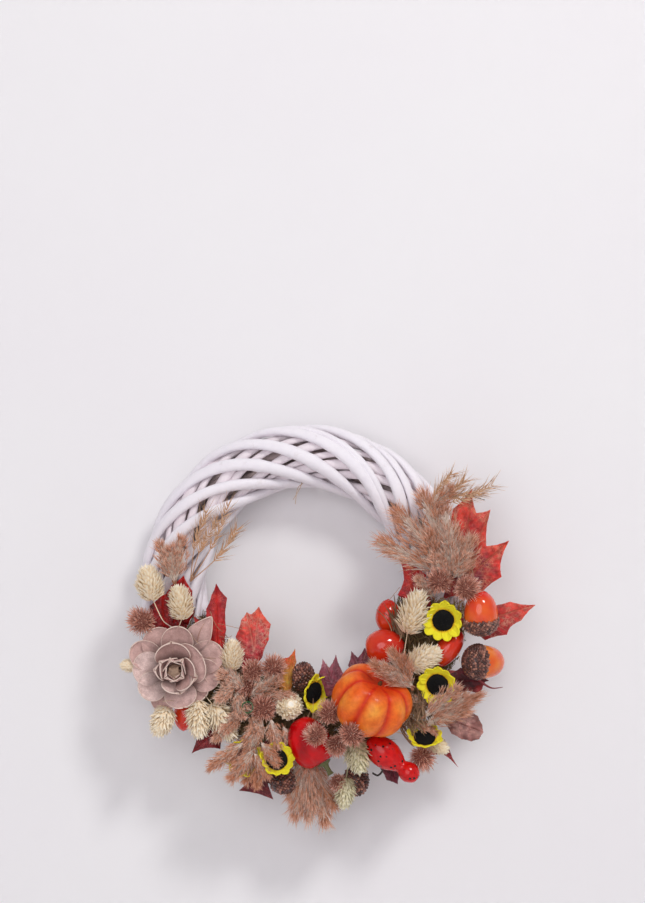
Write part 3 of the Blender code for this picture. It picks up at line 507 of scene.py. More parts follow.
def sphere_points(count, low=-1.0, high=1.0):
    """Evenly spread directions by the golden angle, with heights from low to high."""
    height = low + (high - low) * (np.arange(count) + 0.5) / count
    reach = np.sqrt(np.maximum(1 - height**2, 0))
    angle = GOLDEN * np.arange(count)
    return np.stack([reach * np.cos(angle), reach * np.sin(angle), height], -1)


def build(name, pieces, material, nodes=(), sharp=50):
    """Makes one object of the pieces, with its place in its mesh, that stands for the CAD nodes."""
    pieces = pieces if isinstance(pieces, list) else [pieces]
    starts = np.cumsum([0] + [len(piece.points) for piece in pieces[:-1]])
    points = np.concatenate([piece.points for piece in pieces]) * MM
    quads = np.concatenate([piece.quads + start for piece, start in zip(pieces, starts)])
    tris = np.concatenate([piece.tris + start for piece, start in zip(pieces, starts)])
    corners = np.concatenate([quads.ravel(), tris.ravel()]).astype(np.int32)
    begin = np.concatenate([np.arange(len(quads)) * 4, len(quads) * 4 + np.arange(len(tris)) * 3])
    mesh = bpy.data.meshes.new(name)
    mesh.vertices.add(len(points))
    mesh.vertices.foreach_set("co", points.ravel().astype(np.float32))
    mesh.loops.add(len(corners))
    mesh.loops.foreach_set("vertex_index", corners)
    mesh.polygons.add(len(begin))
    mesh.polygons.foreach_set("loop_start", begin.astype(np.int32))
    mesh.update(calc_edges=True)
    mesh.polygons.foreach_set("use_smooth", np.ones(len(begin), dtype=bool))
    mesh.set_sharp_from_angle(angle=math.radians(sharp))
    for mark in ("along", "tone", "across"):
        values = np.concatenate([piece.marks[mark] for piece in pieces])
        mesh.attributes.new(mark, "FLOAT", "POINT").data.foreach_set("value", values)
    paint = np.concatenate([piece.paint for piece in pieces])
    colour = np.concatenate([linear(paint), np.ones((len(paint), 1))], axis=1)
    mesh.attributes.new("paint", "FLOAT_COLOR", "POINT").data.foreach_set("color", colour.ravel())
    mesh.materials.append(material)
    mesh.validate()
    made = bpy.data.objects.new(name, mesh)
    bpy.context.scene.collection.objects.link(made)
    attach(made, "root")
    if nodes:
        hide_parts(*nodes)
    return made


# ---- Materials -------------------------------------------------------------------------------


class Finish:
    """One material, its nodes written as calls. Sizes of patterns are in millimetres."""

    def __init__(self, name):
        self.material = bpy.data.materials.new(name)
        self.material.use_nodes = True
        self.tree = self.material.node_tree
        self.shader = next(node for node in self.tree.nodes if node.type == "BSDF_PRINCIPLED")
        self.place = self.add("ShaderNodeTexCoord").outputs["Object"]

    def add(self, kind, inputs=None, **settings):
        node = self.tree.nodes.new(kind)
        for key, value in settings.items():
            setattr(node, key, value)
        for key, value in (inputs or {}).items():
            self.put(node.inputs[key], value)
        return node

    def put(self, socket, value):
        if isinstance(value, bpy.types.NodeSocket):
            self.tree.links.new(value, socket)
        else:
            socket.default_value = value

    def mark(self, name):
        return self.add("ShaderNodeAttribute", attribute_name=name).outputs["Fac"]

    def painted(self):
        return self.add("ShaderNodeAttribute", attribute_name="paint").outputs["Color"]

    def noise(self, size, detail=3.0, roughness=0.55, distortion=0.0):
        return self.add("ShaderNodeTexNoise", {
            "Vector": self.place, "Scale": 1 / (size * MM), "Detail": detail,
            "Roughness": roughness, "Distortion": distortion}).outputs["Fac"]

    def cells(self, size, feature="F1", randomness=1.0, wave=0.0):
        place = self.place
        if wave:
            bend = self.add("ShaderNodeTexNoise", {
                "Vector": place, "Scale": 1 / (size * 1.5 * MM), "Detail": 2.0}).outputs["Color"]
            bend = self.add("ShaderNodeVectorMath", {0: bend, "Scale": wave * MM},
                            operation="SCALE").outputs[0]
            place = self.add("ShaderNodeVectorMath", {0: place, 1: bend}).outputs[0]
        return self.add("ShaderNodeTexVoronoi", {
            "Vector": place, "Scale": 1 / (size * MM), "Randomness": randomness},
            feature=feature).outputs["Distance"]

    def ramp(self, value, *stops):
        """Colours, or bare numbers, at places from 0 to 1."""
        node = self.add("ShaderNodeValToRGB", {"Fac": value})
        spots = node.color_ramp.elements
        for _ in stops[2:]:
            spots.new(0.5)
        for element, (where, _) in zip(list(spots), stops):
            element.position = where
        for element, (_, shade) in zip(list(spots), stops):
            grey = np.ndim(shade) == 0
            element.color = (shade, shade, shade, 1) if grey else (*linear(shade), 1)
        return node.outputs["Color"]

    def mix(self, share, first, second, blend="MIX"):
        node = self.add("ShaderNodeMix", data_type="RGBA", blend_type=blend)
        for socket, value in ((node.inputs[0], share), (node.inputs[6], first),
                              (node.inputs[7], second)):
            if isinstance(value, tuple):
                value = (*linear(value), 1)
            self.put(socket, value)
        return node.outputs[2]

    def maths(self, operation, first, second=0.0):
        return self.add("ShaderNodeMath", {0: first, 1: second}, operation=operation).outputs[0]

    def bump(self, height, depth, below=None):
        """Depth in millimetres of a height from 0 to 1."""
        inputs = {"Height": height, "Distance": depth * MM, "Strength": 1.0}
        if below is not None:
            inputs["Normal"] = below
        return self.add("ShaderNodeBump", inputs).outputs["Normal"]

    def done(self, colour, roughness, normal=None, **sockets):
        self.put(self.shader.inputs["Base Color"], colour)
        self.put(self.shader.inputs["Roughness"], roughness)
        if normal is not None:
            self.put(self.shader.inputs["Normal"], normal)
        for key, value in sockets.items():
            self.put(self.shader.inputs[key.replace("_", " ")], value)
        return self.material


def willow_finish(name, light, shade):
    """Thin white paint over bark: streaks and small knots, with a stain in random patches."""
    finish = Finish(name)
    streak = finish.noise(9, 5, 0.6, distortion=0.4)
    fleck = finish.noise(1.6, 4, 0.65)
    wear = finish.ramp(finish.noise(14, 6, 0.7), (0.30, 1.0), (0.40, 0.0))
    colour = finish.mix(streak, shade, light)
    colour = finish.mix(finish.maths("MULTIPLY", wear, 0.22), colour, (0.74, 0.66, 0.64))
    lines = finish.maths("ADD", finish.maths("MULTIPLY", fleck, 0.5), streak)
    normal = finish.bump(lines, 0.5)
    return finish.done(colour, 0.55, normal, Specular_IOR_Level=0.35)


def strand_finish(name, root, middle, tip, alternate, rough=0.8, tone=0.5, pale=0.0):
    """Dry stalks and hairs: from root to tip colour, with some strands in the alternate one.
    The darker root is partly the strand's own colour and partly painted shade deep among the strands.
    """
    finish = Finish(name)
    # Painted shade in part: the root end is darker, where strands sit deep in a burr or plume.
    colour = finish.ramp(finish.mark("along"), (0.0, root), (0.5, middle), (1.0, tip))
    pick = finish.ramp(finish.mark("tone"), (0.25, 0.0), (0.8, tone))
    colour = finish.mix(pick, colour, alternate)
    colour = finish.mix(finish.ramp(finish.mark("across"), (0.6, 0.0), (0.9, pale)), colour, tip)
    grain = finish.noise(3.0, 3)
    colour = finish.mix(finish.ramp(grain, (0.35, 0.35), (0.6, 0.0)), colour, root)
    return finish.done(colour, rough, finish.bump(finish.noise(0.7, 2), 0.12),
                       Subsurface_Weight=0.0, Specular_IOR_Level=0.25)


def leaf_finish(name, vein_and_sheen, gloss):
    """Printed cloth leaf: painted shades, a net of pale veins, mottling and pressed ribs.
    The pale vein colour is partly printed veins and partly painted highlight streaks.
    """
    finish = Finish(name)
    net = finish.cells(3.6, "DISTANCE_TO_EDGE", wave=2.5)
    fine = finish.ramp(net, (0.02, 0.6), (0.10, 0.0))
    thread = finish.maths("ABSOLUTE", finish.maths("SUBTRACT", finish.noise(7, 5, 0.72), 0.5))
    fine = finish.maths("MAXIMUM", fine, finish.ramp(thread, (0.008, 1.0), (0.03, 0.0)))
    patch = finish.ramp(finish.noise(13, 3), (0.42, 0.0), (0.62, 1.0))
    shade = finish.ramp(finish.noise(8, 4, 0.7), (0.38, 0.75), (0.62, 0.0))
    colour = finish.mix(finish.maths("MULTIPLY", shade, 0.55), finish.painted(),
                        finish.mix(1.0, finish.painted(), (0.62, 0.42, 0.52), "MULTIPLY"))
    net_share = finish.maths("MULTIPLY", finish.maths("MULTIPLY", fine, patch), 0.75)
    # Painted highlight in part: the pale net and ribs also stand for glossy streaks of sheen.
    colour = finish.mix(net_share, colour, vein_and_sheen)
    rib = finish.maths("MULTIPLY", finish.mark("across"), 0.55)
    colour = finish.mix(rib, colour, vein_and_sheen)
    height = finish.maths("SUBTRACT", finish.noise(2.4, 4, 0.6), finish.maths("MULTIPLY", fine, 0.6))
    return finish.done(colour, gloss, finish.bump(height, 0.45), Specular_IOR_Level=0.5)


def sola_finish():
    """Dyed wood shavings: fine grain, blotches, pale cut edges, and painted shade that darkens each
    shaving towards its foot.
    """
    finish = Finish("sola_wood")
    tone = finish.ramp(finish.mark("tone"), (0.2, (0.79, 0.64, 0.61)), (0.5, (0.89, 0.75, 0.72)),
                       (0.85, (0.97, 0.87, 0.84)))
    blotch = finish.noise(7, 4, 0.65)
    colour = finish.mix(finish.ramp(blotch, (0.35, 0.45), (0.6, 0.0)), tone, (0.62, 0.48, 0.45))
    grain = finish.noise(0.9, 3, 0.6)
    colour = finish.mix(finish.ramp(grain, (0.4, 0.22), (0.6, 0.0)), colour, (0.55, 0.42, 0.40))
    # Painted shade: each shaving darkens towards its foot, deep inside the rose.
    foot = finish.ramp(finish.mark("along"), (0.10, 0.92), (0.65, 0.0))
    colour = finish.mix(foot, colour, (0.27, 0.20, 0.19))
    edge = finish.ramp(finish.mark("across"), (0.955, 0.0), (1.0, 0.65))
    colour = finish.mix(edge, colour, (0.95, 0.88, 0.82))
    return finish.done(colour, 0.85, finish.bump(grain, 0.18), Specular_IOR_Level=0.2)


def felt_finish(name, inner, outer, pile=0.5):
    """Pressed felt: a fine pile, and a shade that changes from the middle to the rim."""
    finish = Finish(name)
    pile_noise = finish.noise(pile, 3, 0.7)
    colour = finish.ramp(finish.mark("along"), (0.05, inner), (0.42, outer), (1.0, outer))
    colour = finish.mix(finish.ramp(pile_noise, (0.35, 0.20), (0.6, 0.0)), colour, inner)
    return finish.done(colour, 0.9, finish.bump(pile_noise, 0.25), Specular_IOR_Level=0.15)


def lacquer_finish(name, rough=0.16, coat=0.6, blot=0.25, depth=0.10):
    """Painted and lacquered: soft mottling of the painted shades under a clear coat."""
    finish = Finish(name)
    spray = finish.noise(5, 4, 0.6)
    colour = finish.mix(finish.ramp(spray, (0.35, blot), (0.62, 0.0)), finish.painted(),
                        finish.mix(1.0, finish.painted(), (0.75, 0.45, 0.42), "MULTIPLY"))
    return finish.done(colour, rough, finish.bump(finish.noise(2.5, 2), depth),
                       Coat_Weight=coat, Coat_Roughness=0.08, Specular_IOR_Level=0.25)


def gourd_finish():
    """Red lacquer with small black specks."""
    finish = Finish("spotted_lacquer")
    speck = finish.ramp(finish.cells(5.4, randomness=0.9), (0.19, 1.0), (0.25, 0.0))
    spray = finish.noise(4, 3)
    red = finish.mix(spray, (0.66, 0.0, 0.05), (0.93, 0.10, 0.08))
    colour = finish.mix(speck, red, (0.10, 0.04, 0.05))
    return finish.done(colour, 0.2, finish.bump(finish.maths("SUBTRACT", 1.0, speck), 0.25),
                       Coat_Weight=0.3, Coat_Roughness=0.1, Specular_IOR_Level=0.25)


def bead_finish():
    """Dark brown glossy beads, some lighter at random: partly the beads' own tone, partly painted
    highlights.
    """
    finish = Finish("dark_beads")
    # Painted highlight in part: beads with a high tone are painted lighter.
    colour = finish.ramp(finish.mark("tone"), (0.1, (0.30, 0.18, 0.16)), (0.6, (0.54, 0.33, 0.28)),
                         (0.95, (0.78, 0.54, 0.45)))
    colour = finish.mix(finish.ramp(finish.noise(2.0, 3), (0.4, 0.5), (0.6, 0.0)), colour,
                        (0.13, 0.08, 0.08))
    return finish.done(colour, 0.28, finish.bump(finish.noise(0.8, 2), 0.1), Coat_Weight=0.4)


def plain_finish(name, dark, light, size, rough, depth=0.1, metallic=0.0):
    """Two shades mottled at one size."""
    finish = Finish(name)
    spray = finish.noise(size, 4, 0.6)
    colour = finish.mix(spray, dark, light)
    return finish.done(colour, rough, finish.bump(spray, depth), Metallic=metallic)


# ---- Settings --------------------------------------------------------------------------------


class WillowSettings(bpy.types.PropertyGroup):
    width_factor: FloatProperty(name="Width factor", default=1.0, min=0.5, max=1.3,
                                description="Multiplies every rod's half width")
    flatness: FloatProperty(name="Flatness", default=0.74, min=0.4, max=1.0,
                            description="A rod's thickness as a share of its width")
    steps: IntProperty(name="Steps", default=150, description="Points along each loop of a rod")


class HaySettings(bpy.types.PropertyGroup):
    count: IntProperty(name="Strands", default=3600, description="Number of strands of moss and hay")
    radius: FloatProperty(name="Radius", unit="LENGTH", default=0.00042,
                          description="Radius of a strand at its middle")


class LeafSettings(bpy.types.PropertyGroup):
    thickness: FloatProperty(name="Thickness", unit="LENGTH", default=0.0007,
                             description="Thickness of the cloth")
    rings: IntProperty(name="Rings", default=26, description="Points from the joint to the edge")
    edge_steps: IntProperty(name="Edge steps", default=16,
                            description="Points along each side of the outline")


class RoseSettings(bpy.types.PropertyGroup):
    wall: FloatProperty(name="Wall", unit="LENGTH", default=0.0010,
                        description="Thickness of a shaving")


class SunflowerSettings(bpy.types.PropertyGroup):
    wall: FloatProperty(name="Wall", unit="LENGTH", default=0.0011, description="Felt thickness")
    disc_radius: FloatProperty(name="Disc radius", unit="LENGTH", default=0.0098,
                               description="Radius of the black middle")


class FruitSettings(bpy.types.PropertyGroup):
    lobes: IntProperty(name="Lobes", default=8, description="Lobes of the pumpkin")
    groove: FloatProperty(name="Groove", subtype="FACTOR", default=0.15,
                          description="Depth of the pumpkin's grooves as a share of its radius")


class NutSettings(bpy.types.PropertyGroup):
    bead: FloatProperty(name="Bead radius", unit="LENGTH", default=0.0016,
                        description="Radius of the beads on the cups and cones")


class GrassSettings(bpy.types.PropertyGroup):
    scales: IntProperty(name="Scales", default=300, description="Pointed scales on a canary head")
    spines: IntProperty(name="Spines", default=480, description="Spines on a burr")
    spikelets: IntProperty(name="Spikelets", default=200, description="Spikelets on a reed branch")
    hairs: IntProperty(name="Hairs", default=360, description="Fine hairs on a reed branch")


class StageSettings(bpy.types.PropertyGroup):
    distance: FloatProperty(name="Distance", unit="LENGTH", default=4.0,
                            description="Camera to the middle of the wreath's depth")
    height_in_view: FloatProperty(name="Height in view", unit="LENGTH", default=0.821,
                                  description="Height that the picture covers at the wreath")


# ---- Willow ----------------------------------------------------------------------------------


class WREATH_OT_willow(bpy.types.Operator):
    """Weave the white willow rods of the ring"""

    bl_idname = "wreath.willow"
    bl_label = "Willow ring"

    def rod(self, layer, wide, thick, crossing, twist, start, seed, sway, loops=1):
        """Winds a rod round the ring's tube: a place on_tube at a = -around, t = -twist (around -
        crossing) and depth layer, with a little sway. It tapers, and is thicker at its knots."""
        turn = np.linspace(0, loops * TAU - 0.05, self.steps * loops)
        line = np.outer(turn, [10.0, 3.0, 1.0])
        around = math.radians(start) + turn
        section = twist * (around - math.radians(180 + crossing)) + sway * ripple(line, 17, seed)
        depth = layer * (1 + 0.025 * ripple(line, 11, seed + 1))
        path = on_tube(-around, -section, depth)
        outward = np.stack([-np.cos(section) * np.sin(around), -np.sin(section),
                            -np.cos(section) * np.cos(around)], -1)
        chance = np.random.default_rng(seed)
        knots = chance.uniform(0, loops * TAU, 5 * loops)
        swell = 0.16 * np.exp(-(((turn[:, None] - knots) / 0.022) ** 2)).sum(-1)
        radius = wide * (1 + 0.07 * ripple(line, 6, seed + 2) + swell) * (1 - 0.12 * turn / turn[-1])
        return strands(path, radius, 12, flat=thick / wide, facing=outward[None], blunt=True,
                       tone=chance.uniform())

    def execute(self, context):
        props = context.scene.wreath_willow
        self.steps = props.steps
        wide, flat = props.width_factor, props.width_factor * props.flatness

        def wound(rods, layer, twist, first_seed, sway):
            return [self.rod(layer, wide * size, flat * size, crossing, twist, start,
                             first_seed + number, sway)
                    for number, (crossing, size, start) in enumerate(rods)]

        outer = wound(OUTER_RODS, OUTER_LAYER, ROD_TWIST, 10, 0.08)
        under = wound(INNER_RODS, UNDER_LAYER, -ROD_TWIST, 50, 0.14)
        core = [self.rod(CORE_LAYER, 4.6, 4.2, crossing, 0.5, 10, 70 + crossing, 0.05, loops=2)
                for crossing in (20, 200)]
        paint = willow_finish("white_willow", (1.0, 0.985, 1.0), (0.95, 0.93, 0.96))
        # Painted shade: the under rods, which lie deeper in the ring, get a darker copy of the white
        # paint.
        under_paint_with_shade = willow_finish("white_willow_under_painted_shade", (1.0, 0.97, 0.985), (0.90, 0.85, 0.87))
        # The core hoops are bare bark, painted darker still as shade deep inside the ring.
        bark = willow_finish("willow_core_bark_and_painted_shade", (0.80, 0.74, 0.73), (0.62, 0.54, 0.53))
        build("willow_outer_rods", outer, paint,
              [f"outer_rod_{number}" for number in range(1, 5)])
        build("willow_under_rods", under, under_paint_with_shade,
              [f"inner_rod_{number}" for number in range(1, 4)])
        build("willow_core_hoops", core, bark, ["core_hoop"])
        return {"FINISHED"}


class WREATH_OT_hay(bpy.types.Operator):
    """Lay the tangle of moss and hay under the ornaments"""

    bl_idname = "wreath.hay"
    bl_label = "Moss and hay"

    def tangle(self, count, radius):
        """Strands that lie on the moss: each runs along the tube's surface at its own heading,
        a = a0 + run cos(heading) / R and t = t0 + run sin(heading) / r, and bends as it goes."""
        steps = 7
        chance = np.random.default_rng(5)
        around = np.radians(chance.uniform(*MOSS_SPAN, count))
        section = np.radians(chance.uniform(*MOSS_SIDES, count))
        heading = np.where(chance.uniform(size=count) < 0.6, chance.normal(0, 0.5, count),
                           chance.uniform(-1.6, 1.6, count))
        length = chance.uniform(9, 30, count)
        share = np.linspace(-0.5, 0.5, steps)
        bend = chance.normal(0, 0.9, count)[:, None] * share + chance.normal(0, 0.25, (count, steps))
        run = share * length[:, None]
        angle = around[:, None] + run * np.cos(heading[:, None] + bend) / RING_RADIUS
        turn = section[:, None] + run * np.sin(heading[:, None] + bend) / 32
        depth = (MOSS_DEPTH + chance.gamma(2.0, 1.1, count)[:, None]
                 + chance.normal(0, 0.8, (count, steps)))
        paths = on_tube(angle, turn, np.minimum(depth, 39))
        taper = np.sin(np.linspace(0.25, 1, steps) * math.pi * 0.9)[None]
        thick = radius * chance.uniform(0.5, 1.7, (count, 1)) * taper
        return strands(paths, thick, 4, flat=0.6, tone=chance.uniform(size=count))

    def execute(self, context):
        props = context.scene.wreath_hay
        dry = strand_finish("dry_moss", (0.36, 0.28, 0.20), (0.58, 0.48, 0.34), (0.70, 0.60, 0.44),
                            (0.50, 0.46, 0.30), 0.9, 0.8)
        build("moss_and_hay", self.tangle(props.count, props.radius / MM), dry)
        around = np.radians(np.linspace(MOSS_SPAN[0] + 4, MOSS_SPAN[1] - 4, 120))
        turn = np.radians(np.linspace(MOSS_SIDES[0] + 5, MOSS_SIDES[1] - 5, 26))
        a, t = np.meshgrid(around, turn, indexing="ij")
        flat = np.stack([a * RING_RADIUS, t * MOSS_DEPTH, 0 * a], -1)
        bed = on_tube(a, t, 29.6 + 1.0 * ripple(flat, 9, 8) + 0.8 * ripple(flat, 4, 9))
        mat = slabs(bed[None, ::-1], 1.4, along=0.2, tone=0.1)
        build("moss_mat", mat, dry, ["moss_bed"])
        return {"FINISHED"}


# ---- Leaves ----------------------------------------------------------------------------------


class WREATH_OT_leaves(bpy.types.Operator):
    """Cut the printed cloth leaves, with ribs, teeth and curl"""

    bl_idname = "wreath.leaves"
    bl_label = "Leaves"

    def toothed_edge(self, outline, stalk_end):
        """The outline and the stalk's end as corners in order of angle. Each side bows in by a
        sine and has three teeth; a rib runs to each corner that stands out from its neighbours."""
        x, z = stalk_end
        side = np.array([-z, x]) / math.hypot(x, z) * 1.1
        edge = [np.array(point, dtype=float) for point in outline]
        edge += [np.array(stalk_end) - side, np.array(stalk_end) + side]
        edge.sort(key=lambda point: math.atan2(point[1], point[0]))
        corners = np.array(edge)
        gap = np.roll(corners, -1, axis=0) - corners
        inward = np.stack([-gap[:, 1], gap[:, 0]], -1)
        share = np.linspace(0, 1, self.edge_steps, endpoint=False)
        bow = 0.05 * np.sin(math.pi * share)
        teeth = 0.25 * np.sin(share * math.pi) * np.maximum(np.sin(share * TAU * 3), 0)
        sag = (bow - teeth / np.maximum(np.linalg.norm(gap, axis=1), 6)[:, None])[..., None]
        line = corners[:, None] + share[None, :, None] * gap[:, None] + sag * inward[:, None]
        span = np.linalg.norm(corners, axis=1)
        peak = (span > np.roll(span, 1)) & (span > np.roll(span, -1))
        return line.reshape(-1, 2), unit(corners[peak])

    def veins(self, flat, ribs, t):
        """How far each point is from its nearest rib, and how strongly the rib, exp(-(off/0.8)^2),
        and the side veins, cos((ahead - 0.9 off) 2 pi / 5.5)^8, show there."""
        ahead = flat @ ribs.T
        off = np.abs(flat[..., :1] * ribs[:, 1] - flat[..., 1:] * ribs[:, 0])
        off = np.where(ahead > 0, off, 99.0)
        nearest = off.argmin(-1)[..., None]
        ahead = np.take_along_axis(ahead, nearest, -1)[..., 0]
        off = np.take_along_axis(off, nearest, -1)[..., 0]
        main = np.exp(-((off / 0.8) ** 2))
        branch = np.maximum(np.cos((ahead - 0.9 * off) * TAU / 5.5), 0) ** 8
        return off, main, branch * np.clip(off / 2, 0, 1) * (1 - t**8)

    def shell(self, grid, middle, t):
        """Moves the sheet half the wall both ways along its normal, thinner towards the edge, and
        closes it with a fan on each side of the joint and a wall round the edge."""
        loop = np.concatenate([grid, grid[:, :1]], 1)
        normal = unit(np.cross(np.gradient(loop, axis=0), np.gradient(loop, axis=1)))[:, :-1]
        flip = np.sign(normal[..., 1:2].mean())
        half = self.thick / 2 * (1 - 0.4 * t[..., None])
        front, back = grid - flip * half * normal, grid + flip * half * normal
        hub = np.array([0, self.thick / 2, 0])
        points = np.concatenate([front.reshape(-1, 3), back.reshape(-1, 3),
                                 [middle - hub, middle + hub]])
        rows, columns = grid.shape[:2]
        sheet = rows * columns
        i, j = np.meshgrid(np.arange(rows - 1), np.arange(columns), indexing="ij")
        after = (j + 1) % columns
        face = np.stack([i * columns + j, i * columns + after, (i + 1) * columns + after,
                         (i + 1) * columns + j], -1).reshape(-1, 4)
        spoke = np.arange(columns)
        after = (spoke + 1) % columns
        rim = (rows - 1) * columns
        wall = np.stack([rim + spoke, rim + after, rim + after + sheet, rim + spoke + sheet], -1)
        fan = np.stack([np.full(columns, 2 * sheet), after, spoke], -1)
        back_fan = np.stack([np.full(columns, 2 * sheet + 1), spoke + sheet, after + sheet], -1)
        quads = np.concatenate([face, face[:, ::-1] + sheet, wall[:, ::-1]])[:, ::-1]
        return points, quads, np.concatenate([fan, back_fan])[:, ::-1]

    def leaf(self, name, outline, stalk_end, tip, joint, bulge, curl):
        """A fan about the joint: P(s, t) = t C(s), with C the toothed outline; it stands
        bulge (1 - t^2) proud, dips along the ribs, and curls up by curl t^3 at the tips."""
        line, ribs = self.toothed_edge(outline, stalk_end)
        span = np.linalg.norm(line, axis=1)[None]
        t = (np.linspace(0, 1, self.rings + 1)[1:] ** 0.85)[:, None]
        flat = t[..., None] * line[None]
        off, main, fine = self.veins(flat, ribs, t)
        field = np.concatenate([flat, np.zeros_like(flat[..., :1])], -1)
        height = bulge * (1 - t**2) - 0.8 * main - 0.35 * fine + 0.5 * np.minimum(off, 4) ** 0.7
        height = height + 0.5 * ripple(field, 12, len(name)) * t
        height = height + curl * t**3 * np.clip((span - 22) / 25, -0.3, 1.0)
        grid = np.stack([flat[..., 0], -height, flat[..., 1]], -1)
        points, quads, tris = self.shell(grid, np.array([0.0, -bulge, 0.0]), t)
        blend = np.clip(t**1.3 * np.clip(span / 40, 0.4, 1.0)
                        + 0.22 * ripple(field, 16, 3 + len(name)), 0, 1)[..., None]
        paint = np.asarray(joint) * (1 - blend) + np.asarray(tip) * blend
        paint = np.clip(paint * (1 + 0.12 * ripple(field, 7, 5)[..., None]), 0, 1).reshape(-1, 3)
        across = np.maximum(main * (1 - 0.6 * t), 0.45 * fine).ravel()
        along = np.broadcast_to(t, main.shape).ravel()
        return Piece(points, quads, tris, along=np.concatenate([along, along, [0, 0]]),
                     across=np.concatenate([across, across * 0.5, [0, 0]]),
                     paint=np.concatenate([paint, paint, [joint, joint]]))

    def execute(self, context):
        props = context.scene.wreath_leaves
        self.thick, self.rings = props.thickness / MM, props.rings
        self.edge_steps = props.edge_steps
        for node, (outline, stalk, tip, joint, vein_and_sheen, bulge, curl) in LEAVES.items():
            piece = self.leaf(node, outline, stalk, tip, joint, bulge, curl).settled(node)
            gloss = GLOSSY_LEAF if node in GLOSSY_LEAVES else CLOTH_LEAF
            slot = LEAF_SLOTS.get(node, "leaf_red")
            build(f"{node}_cloth", piece, leaf_finish(f"{node}_print", vein_and_sheen, gloss), [node])
        for name, place, outline, stalk, tip, joint, vein_and_sheen, slot in SMALL_LEAVES:
            piece = self.leaf(name, outline, stalk, tip, joint, 2.0, 1.0).moved(*spot(*place))
            build(name, piece, leaf_finish(f"{name}_print", vein_and_sheen, CLOTH_LEAF))
        return {"FINISHED"}


# ---- Flowers ---------------------------------------------------------------------------------


def petals(count, rows, columns, length, width, foot_rise, tip_rise, point, cup, waist=0.55):
    """Petal sheets with the foot at the origin, reaching along +Y and rising along +Z. Half
    width w(v) = W/2 sqrt(1 - ((v - c) / (1 - c))^2) past the widest share c; the slope goes
    from foot_rise to tip_rise, and the sides rise by cup u^2."""
    v = np.sin(np.linspace(0, 1, rows) * math.pi / 2)[None, :, None]
    u = np.linspace(-1, 1, columns)[None, None]
    length, width, foot_rise, tip_rise, point, cup = (
        np.broadcast_to(value, (count,)).astype(float)[:, None, None]
        for value in (length, width, foot_rise, tip_rise, point, cup))
    past = np.clip((v - waist) / (1 - waist), 0, 0.9985)
    rounded = np.sqrt(1 - past**2)
    pointed = 1 - past**1.3
    tip = rounded * (1 - point) + np.maximum(pointed, 0.02) * point
    narrow = 0.42 + 0.58 * np.sin(np.clip(v / waist, 0, 1) * math.pi / 2)
    half = width / 2 * np.where(v > waist, tip, narrow)
    slope = np.radians(foot_rise + (tip_rise - foot_rise) * v)
    step = np.diff(v, axis=1, prepend=0) * length
    ahead = np.cumsum(np.cos(slope) * step, axis=1) - (np.cos(slope) * step)[:, :1]
    height = np.cumsum(np.sin(slope) * step, axis=1) - (np.sin(slope) * step)[:, :1]
    side = half * u
    shape = (count, rows, columns)
    lift = cup * u**2 * np.sin(v * math.pi * 0.75) * width / 10
    grid = np.stack([np.broadcast_to(side, shape),
                     np.broadcast_to(ahead, shape) - np.broadcast_to(lift * np.sin(slope), shape),
                     np.broadcast_to(height, shape) + lift * np.cos(slope)], -1)
    edge = np.maximum(np.abs(u) ** 6, np.where(v > 0.97, 1.0, 0.0))
    return grid, np.broadcast_to(v, shape), np.broadcast_to(edge, shape)


def fan_out(grid, degrees, foot, height):
    """Turns each sheet clockwise by its direction about +Z, as seen from +Z, and moves its foot."""
    angle = np.radians(np.asarray(degrees, dtype=float))[:, None, None]
    x, y = grid[..., 0], grid[..., 1] + np.reshape(foot, (-1, 1, 1))
    return np.stack([x * np.cos(angle) + y * np.sin(angle), y * np.cos(angle) - x * np.sin(angle),
                     grid[..., 2] + np.reshape(height, (-1, 1, 1))], -1)


def face_viewer(grid):
    """Local (right, up, out) to the wreath's axes, so that local +Z points at the viewer."""
    return np.stack([grid[..., 0], -grid[..., 2], grid[..., 1]], -1)


class WREATH_OT_rose(bpy.types.Operator):
    """Shape the wooden rose from its shavings"""

    bl_idname = "wreath.rose"
    bl_label = "Wooden rose"

    def execute(self, context):
        wall = context.scene.wreath_rose.wall / MM
        table = np.array(ROSE_PETALS, dtype=float)
        chance = np.random.default_rng(12)
        count = len(table)
        grid, along, edge = petals(
            count, 26, 23, table[:, 2], table[:, 3], table[:, 4], table[:, 5], table[:, 7],
            np.where(table[:, 4] > 40, 3.4, chance.uniform(0.8, 1.8, count)))
        warp = np.stack([grid[..., 0] + 40 * np.arange(count)[:, None, None], grid[..., 1],
                         0 * grid[..., 0]], -1)
        grid[..., 2] += 0.9 * ripple(warp, 19, 3) * along + 0.3 * ripple(warp, 7, 4) * along
        grid = face_viewer(fan_out(grid, table[:, 0], table[:, 1], table[:, 6]))
        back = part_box("rose_outer_petals")[1][1] / MM
        centre = spot(*ROSE_PLACE, back - 1.5)
        sheets = slabs(grid, wall, along=along, tone=table[:, 8, None, None], across=edge)
        sheets.moved(*centre)
        wood = sola_finish()
        total = len(sheets.points)
        split = total // count * OUTER_SHAVINGS
        build("rose_outer_shavings", sheets.stretch_of(0, split), wood, ["rose_outer_petals"])
        build("rose_inner_shavings", sheets.stretch_of(split, total), wood,
              ["rose_inner_petals"])

        profile = through([(0, -9), (5.2, -7), (6.2, 0), (4.8, 6), (2.5, 8.5), (0, 9)], 26)
        bud = lathe(profile, 30, swell=lambda s, a: 1 + 0.16 * np.sin(3 * a + 7 * s)
                    + 0.10 * np.sin(8 * a - 11 * s) + 0.06 * np.sin(17 * a + 5 * s), tone=0.55)
        bud.points[:, :2] += 1.2 * np.stack([ripple(bud.points, 6, 21), ripple(bud.points, 6, 22)], -1)
        bud.turned(turn_to(0, 90)).moved(*(centre + [0, -15, 0]))
        tan = plain_finish("rose_bud_fibre", (0.42, 0.32, 0.27), (0.76, 0.64, 0.54), 2.2, 0.85, 0.5)
        build("rose_bud_fibres", bud, tan, ["rose_bud"])
        return {"FINISHED"}


